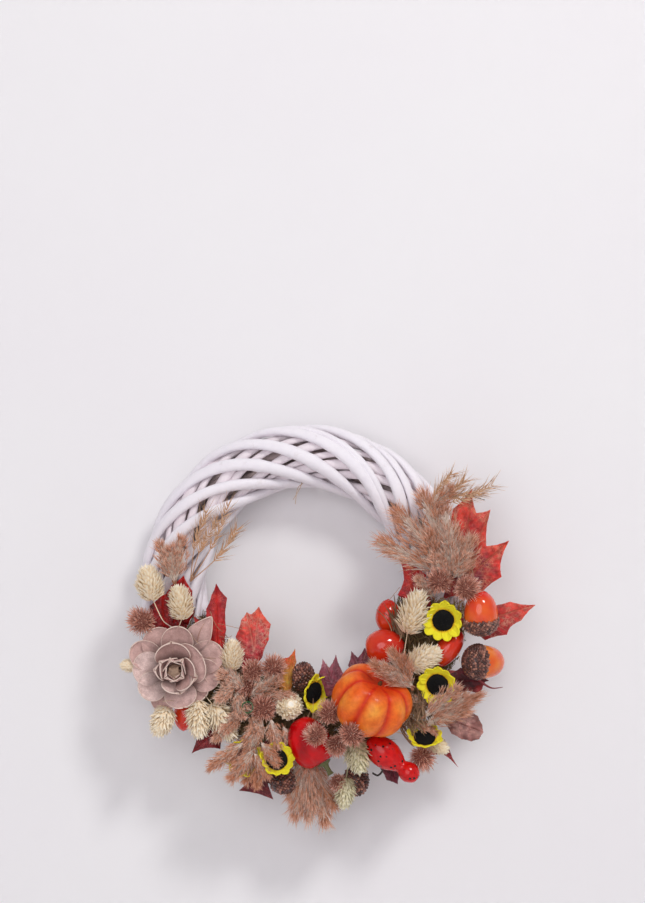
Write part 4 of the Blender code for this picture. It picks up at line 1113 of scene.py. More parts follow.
class WREATH_OT_sunflowers(bpy.types.Operator):
    """Cut the felt sunflowers with their black middles"""

    bl_idname = "wreath.sunflowers"
    bl_label = "Felt sunflowers"

    def execute(self, context):
        props = context.scene.wreath_sunflowers
        wall, disc_radius = props.wall / MM, props.disc_radius / MM
        yellow = felt_finish("yellow_felt", (0.97, 0.62, 0.10), (0.97, 0.95, 0.22))
        black = felt_finish("black_felt", (0.05, 0.05, 0.05), (0.10, 0.10, 0.10), 0.35)
        for number, radius, lobes, clock, rise, roll in SUNFLOWERS:
            chance = np.random.default_rng(100 + number)
            foot = disc_radius * 0.80
            grid, along, edge = petals(
                lobes, 18, 15, radius - foot + chance.normal(0, 0.5, lobes),
                TAU * radius * 0.82 / lobes * chance.uniform(1.00, 1.12, lobes),
                chance.uniform(12, 26, lobes), chance.uniform(30, 58, lobes), 0.0,
                chance.uniform(0.9, 2.0, lobes), waist=0.52)
            crease = np.exp(-((np.linspace(-1, 1, 15) / 0.22) ** 2))[None, None]
            grid[..., 2] -= 0.5 * crease * np.sin(along * math.pi)
            spin = 360 * (np.arange(lobes) + chance.uniform(-0.12, 0.12, lobes)) / lobes
            grid = fan_out(grid, spin, foot, 0.35 * (np.arange(lobes) % 2))
            flower = slabs(grid, wall, along=along, across=edge)
            plate = lathe(through([(0, -0.9), (foot, -0.7), (foot + 1.4, 0.0), (foot, 0.9),
                                   (0, 0.9)], 16), 28)
            plate.marks["along"] = np.zeros(len(plate.points))
            turn = turn_to(clock, rise, roll)
            flower.turned(turn)
            plate.turned(turn)
            shift = way_to(f"sunflower_{number}_petals", flower, plate)
            flower.moved(*shift)
            plate.moved(*shift)
            build(f"sunflower_{number}_felt", [flower, plate], yellow,
                  [f"sunflower_{number}_petals"])
            dome = lathe(through([(0, 0.6), (disc_radius * 0.8, 0.7), (disc_radius, 2.0),
                                  (disc_radius * 0.86, 3.6), (disc_radius * 0.5, 4.6), (0, 5.0)], 22),
                         36, swell=lambda s, a: 1 + 0.03 * np.sin(5 * a + 3 * s))
            dome.points += 0.25 * ripple(dome.points, 1.6, number)[:, None] * unit(dome.points)
            tuft = sphere_points(320, 0.05, 1.0)
            root = tuft * [disc_radius * 0.94, disc_radius * 0.94, 3.6] + [0, 0, 1.3]
            way = unit(tuft + chance.normal(0, 0.5, tuft.shape))
            pile = root[:, None] + way[:, None] * np.array([0, 0.7, 1.3])[None, :, None]
            fuzz = strands(pile, np.array([[0.3, 0.25, 0.0]]), 3)
            for piece in (dome, fuzz):
                piece.turned(turn).moved(*shift)
            build(f"sunflower_{number}_middle", [dome, fuzz], black,
                  [f"sunflower_{number}_disc"])
        return {"FINISHED"}


# ---- Fruit, nuts and cones -------------------------------------------------------------------


class WREATH_OT_fruit(bpy.types.Operator):
    """Model the pumpkin, the red pepper and the spotted gourd"""

    bl_idname = "wreath.fruit"
    bl_label = "Pumpkin, pepper and gourd"

    def pumpkin(self, lobes, groove):
        """A squat ball, k = 1 - groove (1 - |cos(lobes a / 2)|^0.8) at its waist, dimpled at
        both poles; yellow patches on the lobes are painted highlights, and red in the grooves and round
        the dimpled top pole is painted shade."""
        angle = np.radians(np.linspace(-84, 86, 60))
        pinch = 1 - 0.30 * np.exp(-(((90 - np.degrees(angle)) / 26) ** 2))
        radius, half_height = 37, 29
        profile = np.stack([radius * np.cos(angle) ** 0.80, half_height * np.sin(angle) * pinch], -1)
        profile = np.concatenate([[[0, -25]], profile, [[0, 19.5]]])

        def lobe_at(turn):
            return np.abs(np.cos(lobes * turn / 2 + 0.12 * np.sin(turn * 2)))

        def swell(share, turn):
            depth = groove * np.sin(share * math.pi) ** 0.35
            return 1 - depth * (1 - lobe_at(turn) ** 0.8) + 0.012 * np.sin(3 * turn + 2)

        body = lathe(profile, 160, swell)
        lobe = lobe_at(np.arctan2(body.points[:, 1], body.points[:, 0]))
        crease = np.exp(-((lobe / 0.30) ** 2))
        patch = np.clip(0.5 + 0.55 * ripple(body.points, 30, 4), 0, 1) * lobe**1.5
        along = body.marks["along"]
        patch = patch * np.clip(np.sin(along * math.pi) * 1.4 - 0.25, 0, 1)
        ends = np.clip((along - 0.70) / 0.25, 0, 1)
        # Painted highlight in yellow patches on the lobes; painted shade in red in the grooves and
        # round the dimpled top pole.
        base, painted_highlight_yellow, red = np.array([(0.97, 0.43, 0.12), (1.0, 0.70, 0.28), (0.86, 0.20, 0.08)])
        paint = base + (painted_highlight_yellow - base) * (0.9 * patch[:, None])
        paint = paint + (red - paint) * np.clip(0.85 * crease + 0.7 * ends, 0, 1)[:, None]
        body.paint = np.clip(paint, 0, 1)
        return body

    def add_pumpkin(self, lobes, groove):
        turn = turn_to(24, 34, 12)
        body = self.pumpkin(lobes, groove).turned(turn).settled("pumpkin")
        middle = middle_of(body.points)
        skin = lacquer_finish("pumpkin_skin", 0.40, 0.10, 0.35, 0.25)
        build("pumpkin_body", body, skin, ["pumpkin"])
        stub = lathe(through([(0, -1), (2.0, 0), (1.6, 2.2), (1.1, 4.2), (0, 4.6)], 14), 14,
                     swell=lambda s, a: 1 + 0.15 * np.cos(5 * a))
        stub.turned(turn).moved(*(middle + turn @ np.array([0, 0, 19.0])))
        straw = plain_finish("dry_stub", (0.30, 0.20, 0.10), (0.50, 0.36, 0.18), 1.5, 0.8)
        build("pumpkin_stub", stub, straw)

    def add_pepper(self):
        """A blunt pod with three soft lobes, k = 1 - 0.16 (1 - |cos 1.5 a|^0.7), and its stem."""
        turn = turn_to(150, 6)
        length, radius = 46.0, 20.5
        profile = through([(0, -length / 2), (0.42 * radius, -0.46 * length),
                           (0.84 * radius, -0.25 * length), (radius, 0.07 * length),
                           (0.92 * radius, 0.31 * length), (0.56 * radius, 0.475 * length),
                           (0.12 * radius, 0.44 * length), (0, 0.43 * length)], 46)
        pepper = lathe(profile, 72, swell=lambda s, a: 1 - 0.16 * (1 - np.abs(np.cos(1.5 * a)) ** 0.7)
                       * np.clip(s * 2.2, 0, 1))
        shade = np.clip(0.5 + 0.5 * ripple(pepper.points, 25, 9), 0, 1)[:, None]
        pepper.paint = np.array([0.70, 0.0, 0.05]) * shade + np.array([0.88, 0.02, 0.06]) * (1 - shade)
        pepper.turned(turn).settled("red_pepper")
        build("pepper_body", pepper, lacquer_finish("pepper_lacquer", 0.22, 0.3, 0.3, 0.12),
              ["red_pepper"])
        stem = lathe(through([(0, -6.5), (6.2, -6.2), (5.4, -4.8), (2.6, -2.6), (2.2, 3), (2.9, 6.2),
                              (0, 6.6)], 30), 25, swell=lambda s, a: 1 + 0.18 * np.cos(5 * a) * (1 - s))
        stem.turned(turn).settled("red_pepper_stem").moved(0, -2, 2)
        green = plain_finish("stem_green", (0.24, 0.26, 0.13), (0.50, 0.50, 0.32), 2.0, 0.6, 0.3)
        build("pepper_stem", stem, green, ["red_pepper_stem"])

    def add_gourd(self):
        gourd = lathe(through([(0, -29), (8, -26.5), (12.6, -15), (12.6, -4), (8.4, 6), (6.3, 10),
                               (8.8, 16), (8.9, 21.5), (5, 27.6), (0, 29)], 60), 48,
                      swell=lambda s, a: 1 + 0.03 * np.sin(2 * a + 4 * s))
        gourd.turned(turn_to(128, 0)).settled("spotted_gourd")
        build("gourd_body", gourd, gourd_finish(), ["spotted_gourd"])

    def execute(self, context):
        props = context.scene.wreath_fruit
        self.add_pumpkin(props.lobes, props.groove)
        self.add_pepper()
        self.add_gourd()
        return {"FINISHED"}


class WREATH_OT_nuts(bpy.types.Operator):
    """Model the acorns, the glossy nuts and the beaded cones"""

    bl_idname = "wreath.nuts"
    bl_label = "Acorns, nuts and cones"

    def nut(self, length, radius, tip, foot):
        """A turned nut painted from foot to tip."""
        profile = through([(0, -length / 2), (0.62 * radius, -0.44 * length),
                           (0.96 * radius, -0.22 * length), (radius, 0.02 * length),
                           (0.80 * radius, 0.27 * length), (0.42 * radius, 0.43 * length),
                           (0.10 * radius, 0.485 * length), (0, 0.5 * length)], 44)
        body = lathe(profile, 48)
        share = np.clip(body.marks["along"] * 1.35 - 0.15 + 0.18 * ripple(body.points, 16, 6), 0, 1)
        share = share[:, None]
        body.paint = np.asarray(foot) * (1 - share) + np.asarray(tip) * share
        return body

    def beaded(self, count, reach, high, low_cut, bead, chance):
        """Beads over an oval cup, by the golden angle."""
        way = sphere_points(count, low_cut, 1.0)
        place = way * [reach, reach, high]
        size = bead * chance.uniform(0.92, 1.08, count)
        return beads(place, size, way, stretch=1.0, tone=chance.uniform(size=count))

    def add_acorns(self, bead, lacquer, dark):
        red, orange, yellow = (0.88, 0.17, 0.10), (0.97, 0.50, 0.18), (0.97, 0.66, 0.20)
        for number, clock, rise in ((1, -2, 10), (2, 93, -34)):
            turn = turn_to(clock, rise)
            acorn = self.nut(40.0, 15.2, red, yellow if number == 2 else orange)
            acorn.turned(turn).settled(f"acorn_{number}_nut")
            build(f"acorn_{number}_kernel", acorn, lacquer, [f"acorn_{number}_nut"])
            chance = np.random.default_rng(300 + number)
            cup = lathe(through([(0, -12.0), (8.8, -10.2), (13.8, -4.0), (15.0, 1.2), (14.2, 2.4),
                                 (13.2, 1.0), (9, -6.4), (0, -8.4)], 40), 40, tone=0.05)
            cluster = self.beaded(300, 15.4, 13.2, -0.10, bead, chance)
            cluster.points[:, 2] = 2.0 - cluster.points[:, 2]
            cluster.quads, cluster.tris = cluster.quads[:, ::-1], cluster.tris[:, ::-1]
            shift = way_to(f"acorn_{number}_cap", cup.turned(turn), cluster.turned(turn))
            for piece in (cup, cluster):
                piece.moved(*shift)
            build(f"acorn_{number}_cup", [cup, cluster], dark, [f"acorn_{number}_cap"])

    def add_nuts(self, lacquer):
        nuts = [(30, 11.5, 0, 0), (36, 15.5, 80, 10), (38, 10.5, 40, 0), (30, 10, 185, 0)]
        for number, (length, radius, clock, rise) in enumerate(nuts, 1):
            body = self.nut(length, radius, (0.80, 0.12, 0.08), (0.88, 0.26, 0.10))
            body.turned(turn_to(clock, rise)).settled(f"glossy_nut_{number}")
            build(f"nut_{number}_shell", body, lacquer, [f"glossy_nut_{number}"])

    def add_cones(self, dark):
        cones = [("small_cone_1", 28, 10.5, 0, 20, None), ("small_cone_2", 30, 12, 180, 20, None),
                 ("small_cone_3", 24, 11, 84, 12, (-19, -176, -40))]
        for index, (name, length, radius, clock, rise, place) in enumerate(cones):
            chance = np.random.default_rng(340 + index)
            turn = turn_to(clock, rise)
            core = lathe(through([(0, -length * 0.44), (radius * 0.72, -length * 0.34),
                                  (radius * 0.86, -length * 0.05), (radius * 0.68, length * 0.25),
                                  (0, length * 0.44)], 26), 24, tone=0.05)
            way = sphere_points(190, -0.97, 0.97)
            root = way * [radius * 0.84, radius * 0.84, length * 0.44]
            scales = beads(root, 1.55 * chance.uniform(0.8, 1.2, 190), unit(way + [0, 0, 0.5]),
                           stretch=1.5, tone=chance.uniform(size=190))
            core.turned(turn)
            scales.turned(turn)
            shift = way_to(name, core, scales) if place is None else spot(*place)
            for piece in (core, scales):
                piece.moved(*shift)
            build(f"{name}_scales", [core, scales], dark,
                  [name] if place is None else ())

    def execute(self, context):
        lacquer = lacquer_finish("nut_lacquer", 0.15, 0.7, 0.12, 0.05)
        dark = bead_finish()
        self.add_acorns(context.scene.wreath_nuts.bead / MM, lacquer, dark)
        self.add_nuts(lacquer)
        self.add_cones(dark)
        return {"FINISHED"}


# ---- Dried grass -----------------------------------------------------------------------------


class WREATH_OT_canary_grass(bpy.types.Operator):
    """Grow the pale canary grass heads"""

    bl_idname = "wreath.canary_grass"
    bl_label = "Canary grass"

    def head(self, length, width, scales, chance):
        """Pointed scales on an oval by the golden angle: each leaves the oval at height v and
        leans from the outward direction towards +Z, more so near the tip."""
        v = (np.arange(scales) + 0.5) / scales
        angle = GOLDEN * np.arange(scales) + chance.normal(0, 0.06, scales)
        reach = width * 0.36 * np.sin(math.pi * np.clip(0.10 + 0.86 * v, 0, 1)) ** 0.7
        out = np.stack([np.cos(angle), np.sin(angle), 0 * angle], -1)
        root = out * reach[:, None] + np.stack([0 * v, 0 * v, length * (-0.46 + 0.72 * v)], -1)
        lean = np.radians(58 - 38 * v + chance.normal(0, 9, scales))[:, None]
        way = out * np.sin(lean) + np.array([0, 0, 1.0]) * np.cos(lean)
        size = (0.19 * length * (1 - 0.15 * v) * chance.uniform(0.75, 1.3, scales))[:, None, None]
        share = np.array([0, 0.3, 0.6, 0.85, 1.0])[None, :, None]
        hook = out[:, None] * (share**2) * 0.05 * size
        paths = root[:, None] + way[:, None] * share * size + hook
        radius = width * 0.064 * np.array([0.55, 1.0, 0.80, 0.36, 0.0])[None]
        radius = radius * chance.uniform(0.8, 1.15, (scales, 1))
        return strands(paths, radius, 5, flat=0.42, facing=out[:, None],
                       tone=chance.uniform(size=scales), across=v)

    def execute(self, context):
        scales = context.scene.wreath_grass.scales
        cream = strand_finish("canary_cream", (0.97, 0.86, 0.70), (1.0, 0.96, 0.86),
                              (1.0, 1.0, 0.97), (1.0, 0.93, 0.82), 0.75, 0.45)
        green = strand_finish("canary_green", (0.68, 0.62, 0.44), (0.96, 0.93, 0.80),
                              (1.0, 1.0, 0.95), (0.88, 0.86, 0.70), 0.75, 0.45)
        for order, (name, nodes, heads, binding) in enumerate(CANARY_GRASS):
            chance = np.random.default_rng(400 + order)
            pieces = []
            for across, up, out, length, width, clock, rise in heads:
                turn = turn_to(clock, rise)
                centre = spot(across, up, out)
                piece = self.head(length, width, scales, chance).turned(turn).moved(*centre)
                core = lathe(through([(0, -length * 0.44), (width * 0.26, -length * 0.34),
                                      (width * 0.32, -length * 0.05), (width * 0.2, length * 0.25),
                                      (0, length * 0.38)], 14), 12, tone=0.1)
                pieces += [piece, core.turned(turn).moved(*centre)]
                foot = centre - turn[:, 2] * length * 0.40
                end = spot(*binding, out + 8)
                bend = (foot + end) / 2 - turn[:, 2] * length * 0.18
                pieces.append(strands(through([foot, bend, end], 12), 0.45, 6, blunt=True, tone=0.9))
            build(name, pieces, green if name in GREENISH_HEADS else cream, nodes)
        return {"FINISHED"}


class WREATH_OT_burrs(bpy.types.Operator):
    """Grow the round spiny burrs"""

    bl_idname = "wreath.burrs"
    bl_label = "Burrs"

    def execute(self, context):
        spines = context.scene.wreath_grass.spines
        brown = strand_finish("burr_spines", (0.40, 0.24, 0.21), (1.0, 0.73, 0.63),
                              (1.0, 0.99, 0.94), (0.76, 0.50, 0.42), 0.7, 0.75)
        share = np.array([0, 0.45, 0.8, 1.0])[None, :, None]
        for order, (name, nodes, burrs) in enumerate(BURRS):
            chance = np.random.default_rng(500 + order)
            pieces = []
            for across, up, out, size, clock, rise in burrs:
                turn, centre = turn_to(clock, rise), spot(across, up, out)
                way = unit(sphere_points(spines) + chance.normal(0, 0.07, (spines, 3)))
                root = way * size * 0.25
                reach = size * 0.27 * chance.uniform(0.62, 1.08, spines)[:, None, None]
                hook = chance.normal(0, 0.22, (spines, 1, 3)) + [0, 0, 0.30]
                paths = root[:, None] + (way[:, None] * share + hook * share**2 * 0.8) * reach
                radius = np.array([[0.36, 0.34, 0.26, 0.0]]) * chance.uniform(0.6, 1.2, (spines, 1))
                pieces.append(strands(paths, radius, 4, flat=0.5, tone=chance.uniform(size=spines)))
                core = lathe(through([(0, -size * 0.29), (size * 0.22, -size * 0.18),
                                      (size * 0.28, 0), (size * 0.22, size * 0.18),
                                      (0, size * 0.29)], 12), 12)
                core.marks["along"] = np.zeros(len(core.points))
                pieces.append(core)
                for piece in pieces[-2:]:
                    piece.turned(turn).moved(*centre)
            build(name, pieces, brown, nodes)
        return {"FINISHED"}


class WREATH_OT_reeds(bpy.types.Operator):
    """Grow the feathery reed plumes and tufts"""

    bl_idname = "wreath.reeds"
    bl_label = "Reed plumes"

    def plume(self, base, tip, spread, tone, spikelets, hairs, chance):
        """A stem with spikelets in forks of three, which leave it at 0.3 to 1.5 of the spread, and
        fine hairs, which leave it at 0.2 to 1.3 of it: P = stem(u) + (way s + bend s^2) L."""
        axis = tip - base
        length = np.linalg.norm(axis)
        aim = unit(axis)
        side = unit(np.cross(aim, [0.3, 1.0, 0.2]))
        other = np.cross(aim, side)
        wide = math.tan(math.radians(spread))

        def round_the_stem(count):
            angle = chance.uniform(0, TAU, count)
            return np.cos(angle)[:, None] * side + np.sin(angle)[:, None] * other

        def leaning(round_way, low, high):
            lean = np.radians(chance.uniform(low, high, len(round_way)) * spread)[:, None]
            return unit(aim * np.cos(lean) + round_way * np.sin(lean))

        u = np.sort(chance.uniform(0.12, 0.96, spikelets) ** 0.8)
        round_way = round_the_stem(spikelets)
        bow = 0.10 * length * np.sin(u * math.pi * 0.5)[:, None] * chance.normal(size=3) * 0.4
        girth = (wide * length * 0.42 * np.sin(np.clip(u, 0, 1) * math.pi) ** 0.6)[:, None]
        off_stem = round_way * girth * chance.uniform(0, 1, (spikelets, 1))
        root = base + u[:, None] * axis + bow + off_stem
        way = leaning(round_way, 0.3, 1.5)
        fork = unit(way[:, None] + chance.normal(0, 0.17, (spikelets, 3, 3))).reshape(-1, 3)
        start = np.repeat(root, 3, axis=0)
        size = (np.clip(0.19 * length, 6, 12) * chance.uniform(0.6, 1.3, len(start)))[:, None, None]
        share = np.array([0, 0.35, 0.75, 1.0])[None, :, None]
        bend = chance.normal(0, 0.09, (len(start), 1, 3)) * share**2
        paths = start[:, None] + (fork[:, None] * share + bend) * size
        radius = np.array([[0.15, 0.26, 0.17, 0.0]]) * chance.uniform(0.7, 1.2, (len(start), 1))
        tones = np.clip(tone + chance.normal(0, 0.22, len(start)), 0, 1)
        pieces = [strands(paths, radius, 3, tone=tones, across=0.2)]

        u = chance.uniform(0.05, 0.85, hairs)
        way = leaning(round_the_stem(hairs), 0.2, 1.3)
        root = base + u[:, None] * axis
        size = (length * (1.0 - 0.8 * u) * chance.uniform(0.3, 0.62, hairs))[:, None, None]
        share = np.linspace(0, 1, 5)[None, :, None]
        bend = chance.normal(0, 0.13, (hairs, 1, 3)) * share**2
        paths = root[:, None] + (way[:, None] * share + bend) * size
        radius = np.array([[0.16, 0.20, 0.17, 0.12, 0.0]])
        tones = np.clip(tones[:1] + chance.normal(0, 0.2, hairs), 0, 1)
        pieces.append(strands(paths, radius, 3, tone=tones, across=0.9))
        stem = through([base, base + 0.5 * axis + 0.02 * length * side, tip], 10)
        pieces.append(strands(stem, np.linspace(0.8, 0.3, 10)[None], 5, blunt=True, tone=0.4))
        return pieces

    def execute(self, context):
        props = context.scene.wreath_grass
        tan = strand_finish("reed_tan", (0.50, 0.33, 0.26), (1.0, 0.79, 0.68), (1.0, 0.97, 0.92),
                            (0.84, 0.55, 0.39), 0.7, 0.8, 0.8)
        for order, (name, nodes, plumes) in enumerate(REEDS):
            chance = np.random.default_rng(600 + order)
            pieces = []
            for *places, spread, tone in plumes:
                base, tip = spot(*places[:3]), spot(*places[3:])
                pieces += self.plume(base, tip, spread, tone, props.spikelets, props.hairs, chance)
            build(name, pieces, tan, nodes)
        return {"FINISHED"}


class WREATH_OT_oats(bpy.types.Operator):
    """Grow the thin oat sprays with orange husks"""

    bl_idname = "wreath.oats"
    bl_label = "Oat sprays"

    def spray(self, base, tip, chance):
        """A bowed stem with pairs of husks on both sides of its upper half, P = stem(u) + way s L,
        each ending in a thin awn."""
        steps, count = 24, 30
        axis = tip - base
        bow = np.cross(unit(axis), [0, 1, 0]) * 3.5 * chance.choice([-1, 1])
        stem = through([base, base + 0.5 * axis + bow, tip], steps)
        stalk = strands(stem, np.linspace(0.55, 0.25, steps)[None], 5, blunt=True, tone=0.5)
        place = (np.linspace(0.45, 0.98, count) * (steps - 1)).astype(int)
        aim = unit(np.gradient(stem, axis=0))[place]
        sway = np.where(np.arange(count) % 2, 1, -1)[:, None] * chance.uniform(0.2, 0.75, (count, 1))
        way = aim + np.cross(aim, [0.0, 1.0, 0.0]) * sway + [0, -0.1, 0]
        way = np.repeat(unit(way + chance.normal(0, 0.08, (count, 3))), 2, axis=0)
        way = unit(way + chance.normal(0, 0.09, way.shape))[:, None]
        start = np.repeat(stem[place], 2, axis=0)[:, None]
        size = chance.uniform(7, 12, len(way))[:, None, None]
        paths = start + way * np.array([0, 0.2, 0.5, 0.8, 1.0])[None, :, None] * size
        radius = np.array([[0.15, 0.52, 0.42, 0.18, 0.0]]) * chance.uniform(0.6, 1.1, (len(way), 1))
        husks = strands(paths, radius, 5, flat=0.5, facing=OUTWARD,
                        tone=chance.uniform(size=len(way)))
        awns = start + way * np.linspace(0.8, 1.7, 4)[None, :, None] * size
        return [stalk, husks, strands(awns, np.array([[0.18, 0.15, 0.1, 0.0]]), 3, tone=0.3)]

    def execute(self, context):
        husk = strand_finish("oat_husks", (0.60, 0.45, 0.35), (0.86, 0.70, 0.56), (1.0, 0.93, 0.84),
                             (0.76, 0.55, 0.38), 0.65, 0.7)
        for order, (name, nodes, sprays) in enumerate(OATS):
            chance = np.random.default_rng(700 + order)
            pieces = []
            for row in sprays:
                pieces += self.spray(spot(*row[:3]), spot(*row[3:]), chance)
            build(name, pieces, husk, nodes)
        return {"FINISHED"}


class WREATH_OT_trim(bpy.types.Operator):
    """Add the small wires, the curled leaf edge, the hay tufts and the stray fibres"""

    bl_idname = "wreath.trim"
    bl_label = "Small trim"

    def wire(self, places, steps, radius, sides):
        """A thin round wire along a smooth curve through some places."""
        curve = through([spot(*place) for place in places], steps)
        return strands(curve, radius, sides, blunt=True)

    def add_wires(self):
        turn = np.linspace(0, TAU * 1.04, 40)
        ring = spot(-51, -107, -58) + np.stack([5.0 * np.cos(turn), 1.2 * np.sin(2 * turn),
                                                5.0 * np.sin(turn)], -1)
        green = plain_finish("green_wire", (0.10, 0.30, 0.16), (0.22, 0.46, 0.26), 3, 0.4)
        build("green_wire_ring", strands(ring, 0.6, 6, facing=OUTWARD, blunt=True), green)
        curl = self.wire([(63, -154, -46), (68, -158, -50), (71, -164, -52), (67, -169, -50),
                          (62, -167, -48)], 30, 0.9, 6)
        twig = self.wire([(-108, -100, -42), (-118, -104, -43), (-126, -112, -42)], 12, 0.5, 5)
        stray = self.wire([(112, 68, -40), (138, 86, -42), (164, 80, -43)], 20, 0.3, 5)
        dark = plain_finish("dark_wire", (0.10, 0.07, 0.06), (0.22, 0.15, 0.12), 2, 0.4)
        build("dark_wire_curl", [curl, twig, stray], dark)

    def add_curled_edge(self):
        """The rolled edge of a leaf, a strip that narrows to its tip."""
        places = [(150, -78, -42), (158.5, -83, -44), (164.5, -87.5, -45), (171, -90.4, -45),
                  (180, -89.6, -44)]
        roll = strands(through([spot(*place) for place in places], 24),
                       np.linspace(1.7, 0.3, 24)[None], 8, flat=0.5, facing=OUTWARD, blunt=True)
        maroon = plain_finish("maroon_edge", (0.40, 0.08, 0.12), (0.56, 0.16, 0.18), 4, 0.5)
        build("curled_leaf_edge", roll, maroon)

    def add_hay_tufts(self):
        """Bundles of straw that lie across a place: P = foot + (s - 0.5) way L + bend."""
        chance = np.random.default_rng(901)
        share = np.linspace(-0.5, 0.5, 8)[None, :, None]
        straws = []
        for across, up, out, clock, reach, number in HAY_TUFTS:
            aim = np.radians(clock + chance.normal(0, 16, number))
            foot = spot(across, up, out) + chance.normal(0, [4.5, 3, 4.5], (number, 3))
            way = np.stack([np.sin(aim), chance.normal(0, 0.15, number), np.cos(aim)], -1)
            size = reach * chance.uniform(0.6, 1.2, number)[:, None, None]
            bend = chance.normal(0, 0.25, (number, 1, 3)) * share**2
            straws.append(foot[:, None] + (way[:, None] * share + bend) * size)
        straws = np.concatenate(straws)
        tuft = strands(straws, np.array([[0.2] + [0.42] * 6 + [0.1]]), 4, flat=0.6,
                       tone=chance.uniform(size=len(straws)))
        brown = strand_finish("hay_brown", (0.42, 0.32, 0.24), (0.60, 0.48, 0.38),
                              (0.76, 0.64, 0.52), (0.44, 0.36, 0.26), 0.8, 0.8)
        build("hay_tufts", tuft, brown)

    def add_stray_fibres(self):
        """Thin fibres that stick out round the dressed part, and two at the ring's top."""
        chance = np.random.default_rng(900)
        count = 90
        around = np.radians(chance.uniform(-70, 95, count))
        reach = RING_RADIUS + chance.uniform(-36, 34, count)
        root = np.stack([reach * np.sin(around), chance.uniform(-46, -36, count),
                         -RING_DROP - reach * np.cos(around)], -1)
        way = unit(chance.normal(size=(count, 3)) * [1, 0.35, 1])
        size = chance.uniform(10, 30, count)[:, None, None]
        share = np.linspace(0, 1, 8)[None, :, None]
        bend = chance.normal(0, 0.35, (count, 1, 3)) * share**2
        paths = root[:, None] + (way[:, None] * share + bend) * size
        paths[..., 1] = np.clip(paths[..., 1], -62, -34)
        fibres = strands(paths, np.array([[0.22] * 7 + [0.0]]), 4, tone=chance.uniform(size=count))
        top = [self.wire([(-2, 96, -20), (-4, 90, -22), (-10, 80, -20)], 10, 0.25, 4),
               self.wire([(-1, 95, -20), (-6, 90, -21), (-8, 76, -20)], 10, 0.25, 4)]
        pale = strand_finish("stray_fibres", (0.60, 0.50, 0.38), (0.80, 0.70, 0.56),
                             (0.88, 0.80, 0.66), (0.70, 0.46, 0.40), 0.7, 0.6)
        build("stray_fibre_bits", [fibres] + top, pale)

    def execute(self, context):
        self.add_wires()
        self.add_curled_edge()
        self.add_hay_tufts()
        self.add_stray_fibres()
        return {"FINISHED"}


# ---- Stage -----------------------------------------------------------------------------------


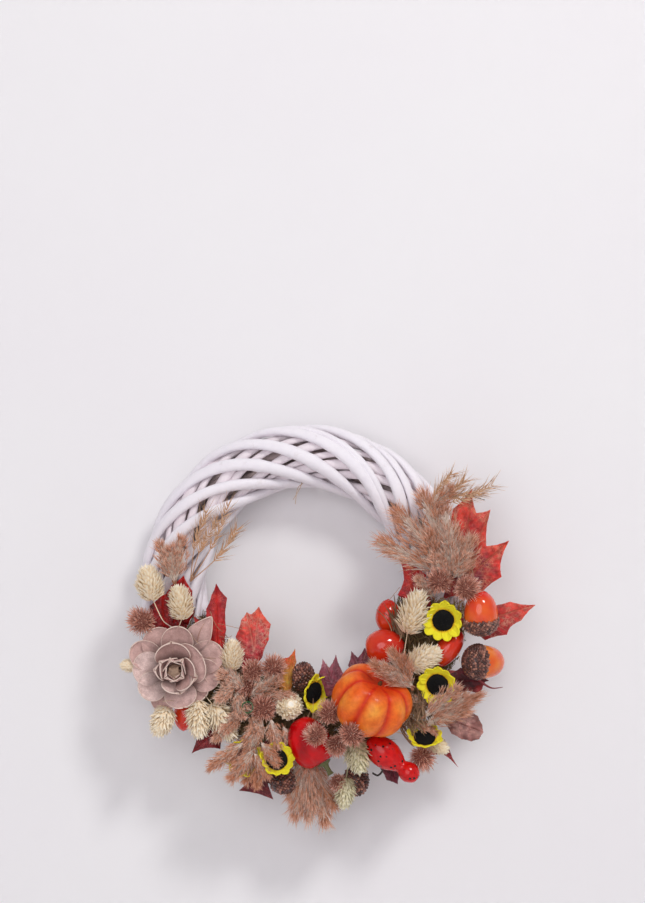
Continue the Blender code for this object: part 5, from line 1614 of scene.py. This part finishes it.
class WREATH_OT_stage(bpy.types.Operator):
    """Set the wall, the floor, the soft lights and the camera"""

    bl_idname = "wreath.stage"
    bl_label = "Stage"

    def sheet(self, name, corners, material):
        mesh = bpy.data.meshes.new(name)
        mesh.from_pydata(corners, [], [(0, 1, 2, 3)])
        mesh.materials.append(material)
        made = bpy.data.objects.new(name, mesh)
        bpy.context.scene.collection.objects.link(made)

    def light(self, name, place, size, power, colour):
        lamp = bpy.data.lights.new(name, "AREA")
        lamp.shape, lamp.size, lamp.energy, lamp.color = "DISK", size, power, colour
        made = bpy.data.objects.new(name, lamp)
        bpy.context.scene.collection.objects.link(made)
        made.location = place
        away = Vector(place) - Vector(LIT_POINT)
        made.rotation_euler = away.to_track_quat("Z", "Y").to_euler()

    def one_way_wall(self):
        """Pale wall paint that is clear from behind, so that the back can be looked at."""
        wall = Finish("wall_paint")
        colour = wall.mix(wall.noise(260, 2), (0.955, 0.945, 0.955), (0.965, 0.965, 0.965))
        wall.done(colour, 0.9, wall.bump(wall.noise(2.5, 3), 0.05), Specular_IOR_Level=0.1)
        behind = wall.add("ShaderNodeNewGeometry").outputs["Backfacing"]
        clear = wall.add("ShaderNodeBsdfTransparent").outputs[0]
        either = wall.add("ShaderNodeMixShader", {0: behind, 1: wall.shader.outputs[0], 2: clear})
        output = next(node for node in wall.tree.nodes if node.type == "OUTPUT_MATERIAL")
        wall.put(output.inputs["Surface"], either.outputs[0])
        return wall.material

    def execute(self, context):
        props = context.scene.wreath_stage
        scene = context.scene
        scene.view_settings.view_transform = "Standard"
        wide, top, ground = 2.2, 2.0, 5.0
        self.sheet("wall", [(-wide, WALL_FACE, FLOOR), (wide, WALL_FACE, FLOOR),
                            (wide, WALL_FACE, top), (-wide, WALL_FACE, top)], self.one_way_wall())
        self.sheet("floor", [(-ground, -ground, FLOOR), (ground, -ground, FLOOR),
                             (ground, ground, FLOOR), (-ground, ground, FLOOR)],
                   plain_finish("floor_paint", (0.86, 0.85, 0.86), (0.90, 0.90, 0.90), 300, 0.8))
        for light in LIGHTS:
            self.light(*light)
        world = bpy.data.worlds.new("studio")
        world.use_nodes = True
        shell = world.node_tree.nodes["Background"]
        shell.inputs["Color"].default_value = (0.94, 0.915, 0.945, 1)
        shell.inputs["Strength"].default_value = 0.38
        scene.world = world
        lens = bpy.data.cameras.new("camera")
        lens.lens = lens.sensor_width * props.distance / props.height_in_view
        camera = bpy.data.objects.new("camera", lens)
        scene.collection.objects.link(camera)
        camera.location = (CAMERA_ACROSS, WREATH_MIDDLE - props.distance, CAMERA_UP)
        camera.rotation_euler = (math.pi / 2, 0, 0)
        scene.camera = camera
        return {"FINISHED"}


# ---- Panel and registration ------------------------------------------------------------------


class WREATH_PT_panel(bpy.types.Panel):
    bl_idname = "WREATH_PT_panel"
    bl_label = "Harvest Door Wreath"
    bl_space_type = "VIEW_3D"
    bl_region_type = "UI"
    bl_category = "Wreath"

    def draw(self, context):
        for group, settings, operators in STEPS:
            box = self.layout.box()
            for name in settings.__annotations__:
                box.prop(getattr(context.scene, group), name)
            for operator in operators:
                box.operator(operator.bl_idname)


# (name of the settings on the scene, settings, operators), in the order of building
STEPS = [
    ("wreath_willow", WillowSettings, [WREATH_OT_willow]),
    ("wreath_hay", HaySettings, [WREATH_OT_hay]),
    ("wreath_leaves", LeafSettings, [WREATH_OT_leaves]),
    ("wreath_rose", RoseSettings, [WREATH_OT_rose]),
    ("wreath_sunflowers", SunflowerSettings, [WREATH_OT_sunflowers]),
    ("wreath_fruit", FruitSettings, [WREATH_OT_fruit]),
    ("wreath_nuts", NutSettings, [WREATH_OT_nuts]),
    ("wreath_grass", GrassSettings, [WREATH_OT_canary_grass, WREATH_OT_burrs, WREATH_OT_reeds,
                                     WREATH_OT_oats, WREATH_OT_trim]),
    ("wreath_stage", StageSettings, [WREATH_OT_stage]),
]


def register():
    for group, settings, operators in STEPS:
        bpy.utils.register_class(settings)
        setattr(bpy.types.Scene, group, PointerProperty(type=settings))
        for operator in operators:
            bpy.utils.register_class(operator)
    bpy.utils.register_class(WREATH_PT_panel)


def unregister():
    bpy.utils.unregister_class(WREATH_PT_panel)
    for group, settings, operators in reversed(STEPS):
        for operator in reversed(operators):
            bpy.utils.unregister_class(operator)
        delattr(bpy.types.Scene, group)
        bpy.utils.unregister_class(settings)


def main():
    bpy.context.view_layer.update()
    register()
    for _, _, operators in STEPS:
        for operator in operators:
            group, action = operator.bl_idname.split(".")
            getattr(getattr(bpy.ops, group), action)()
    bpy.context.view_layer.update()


if __name__ == "__main__":
    main()
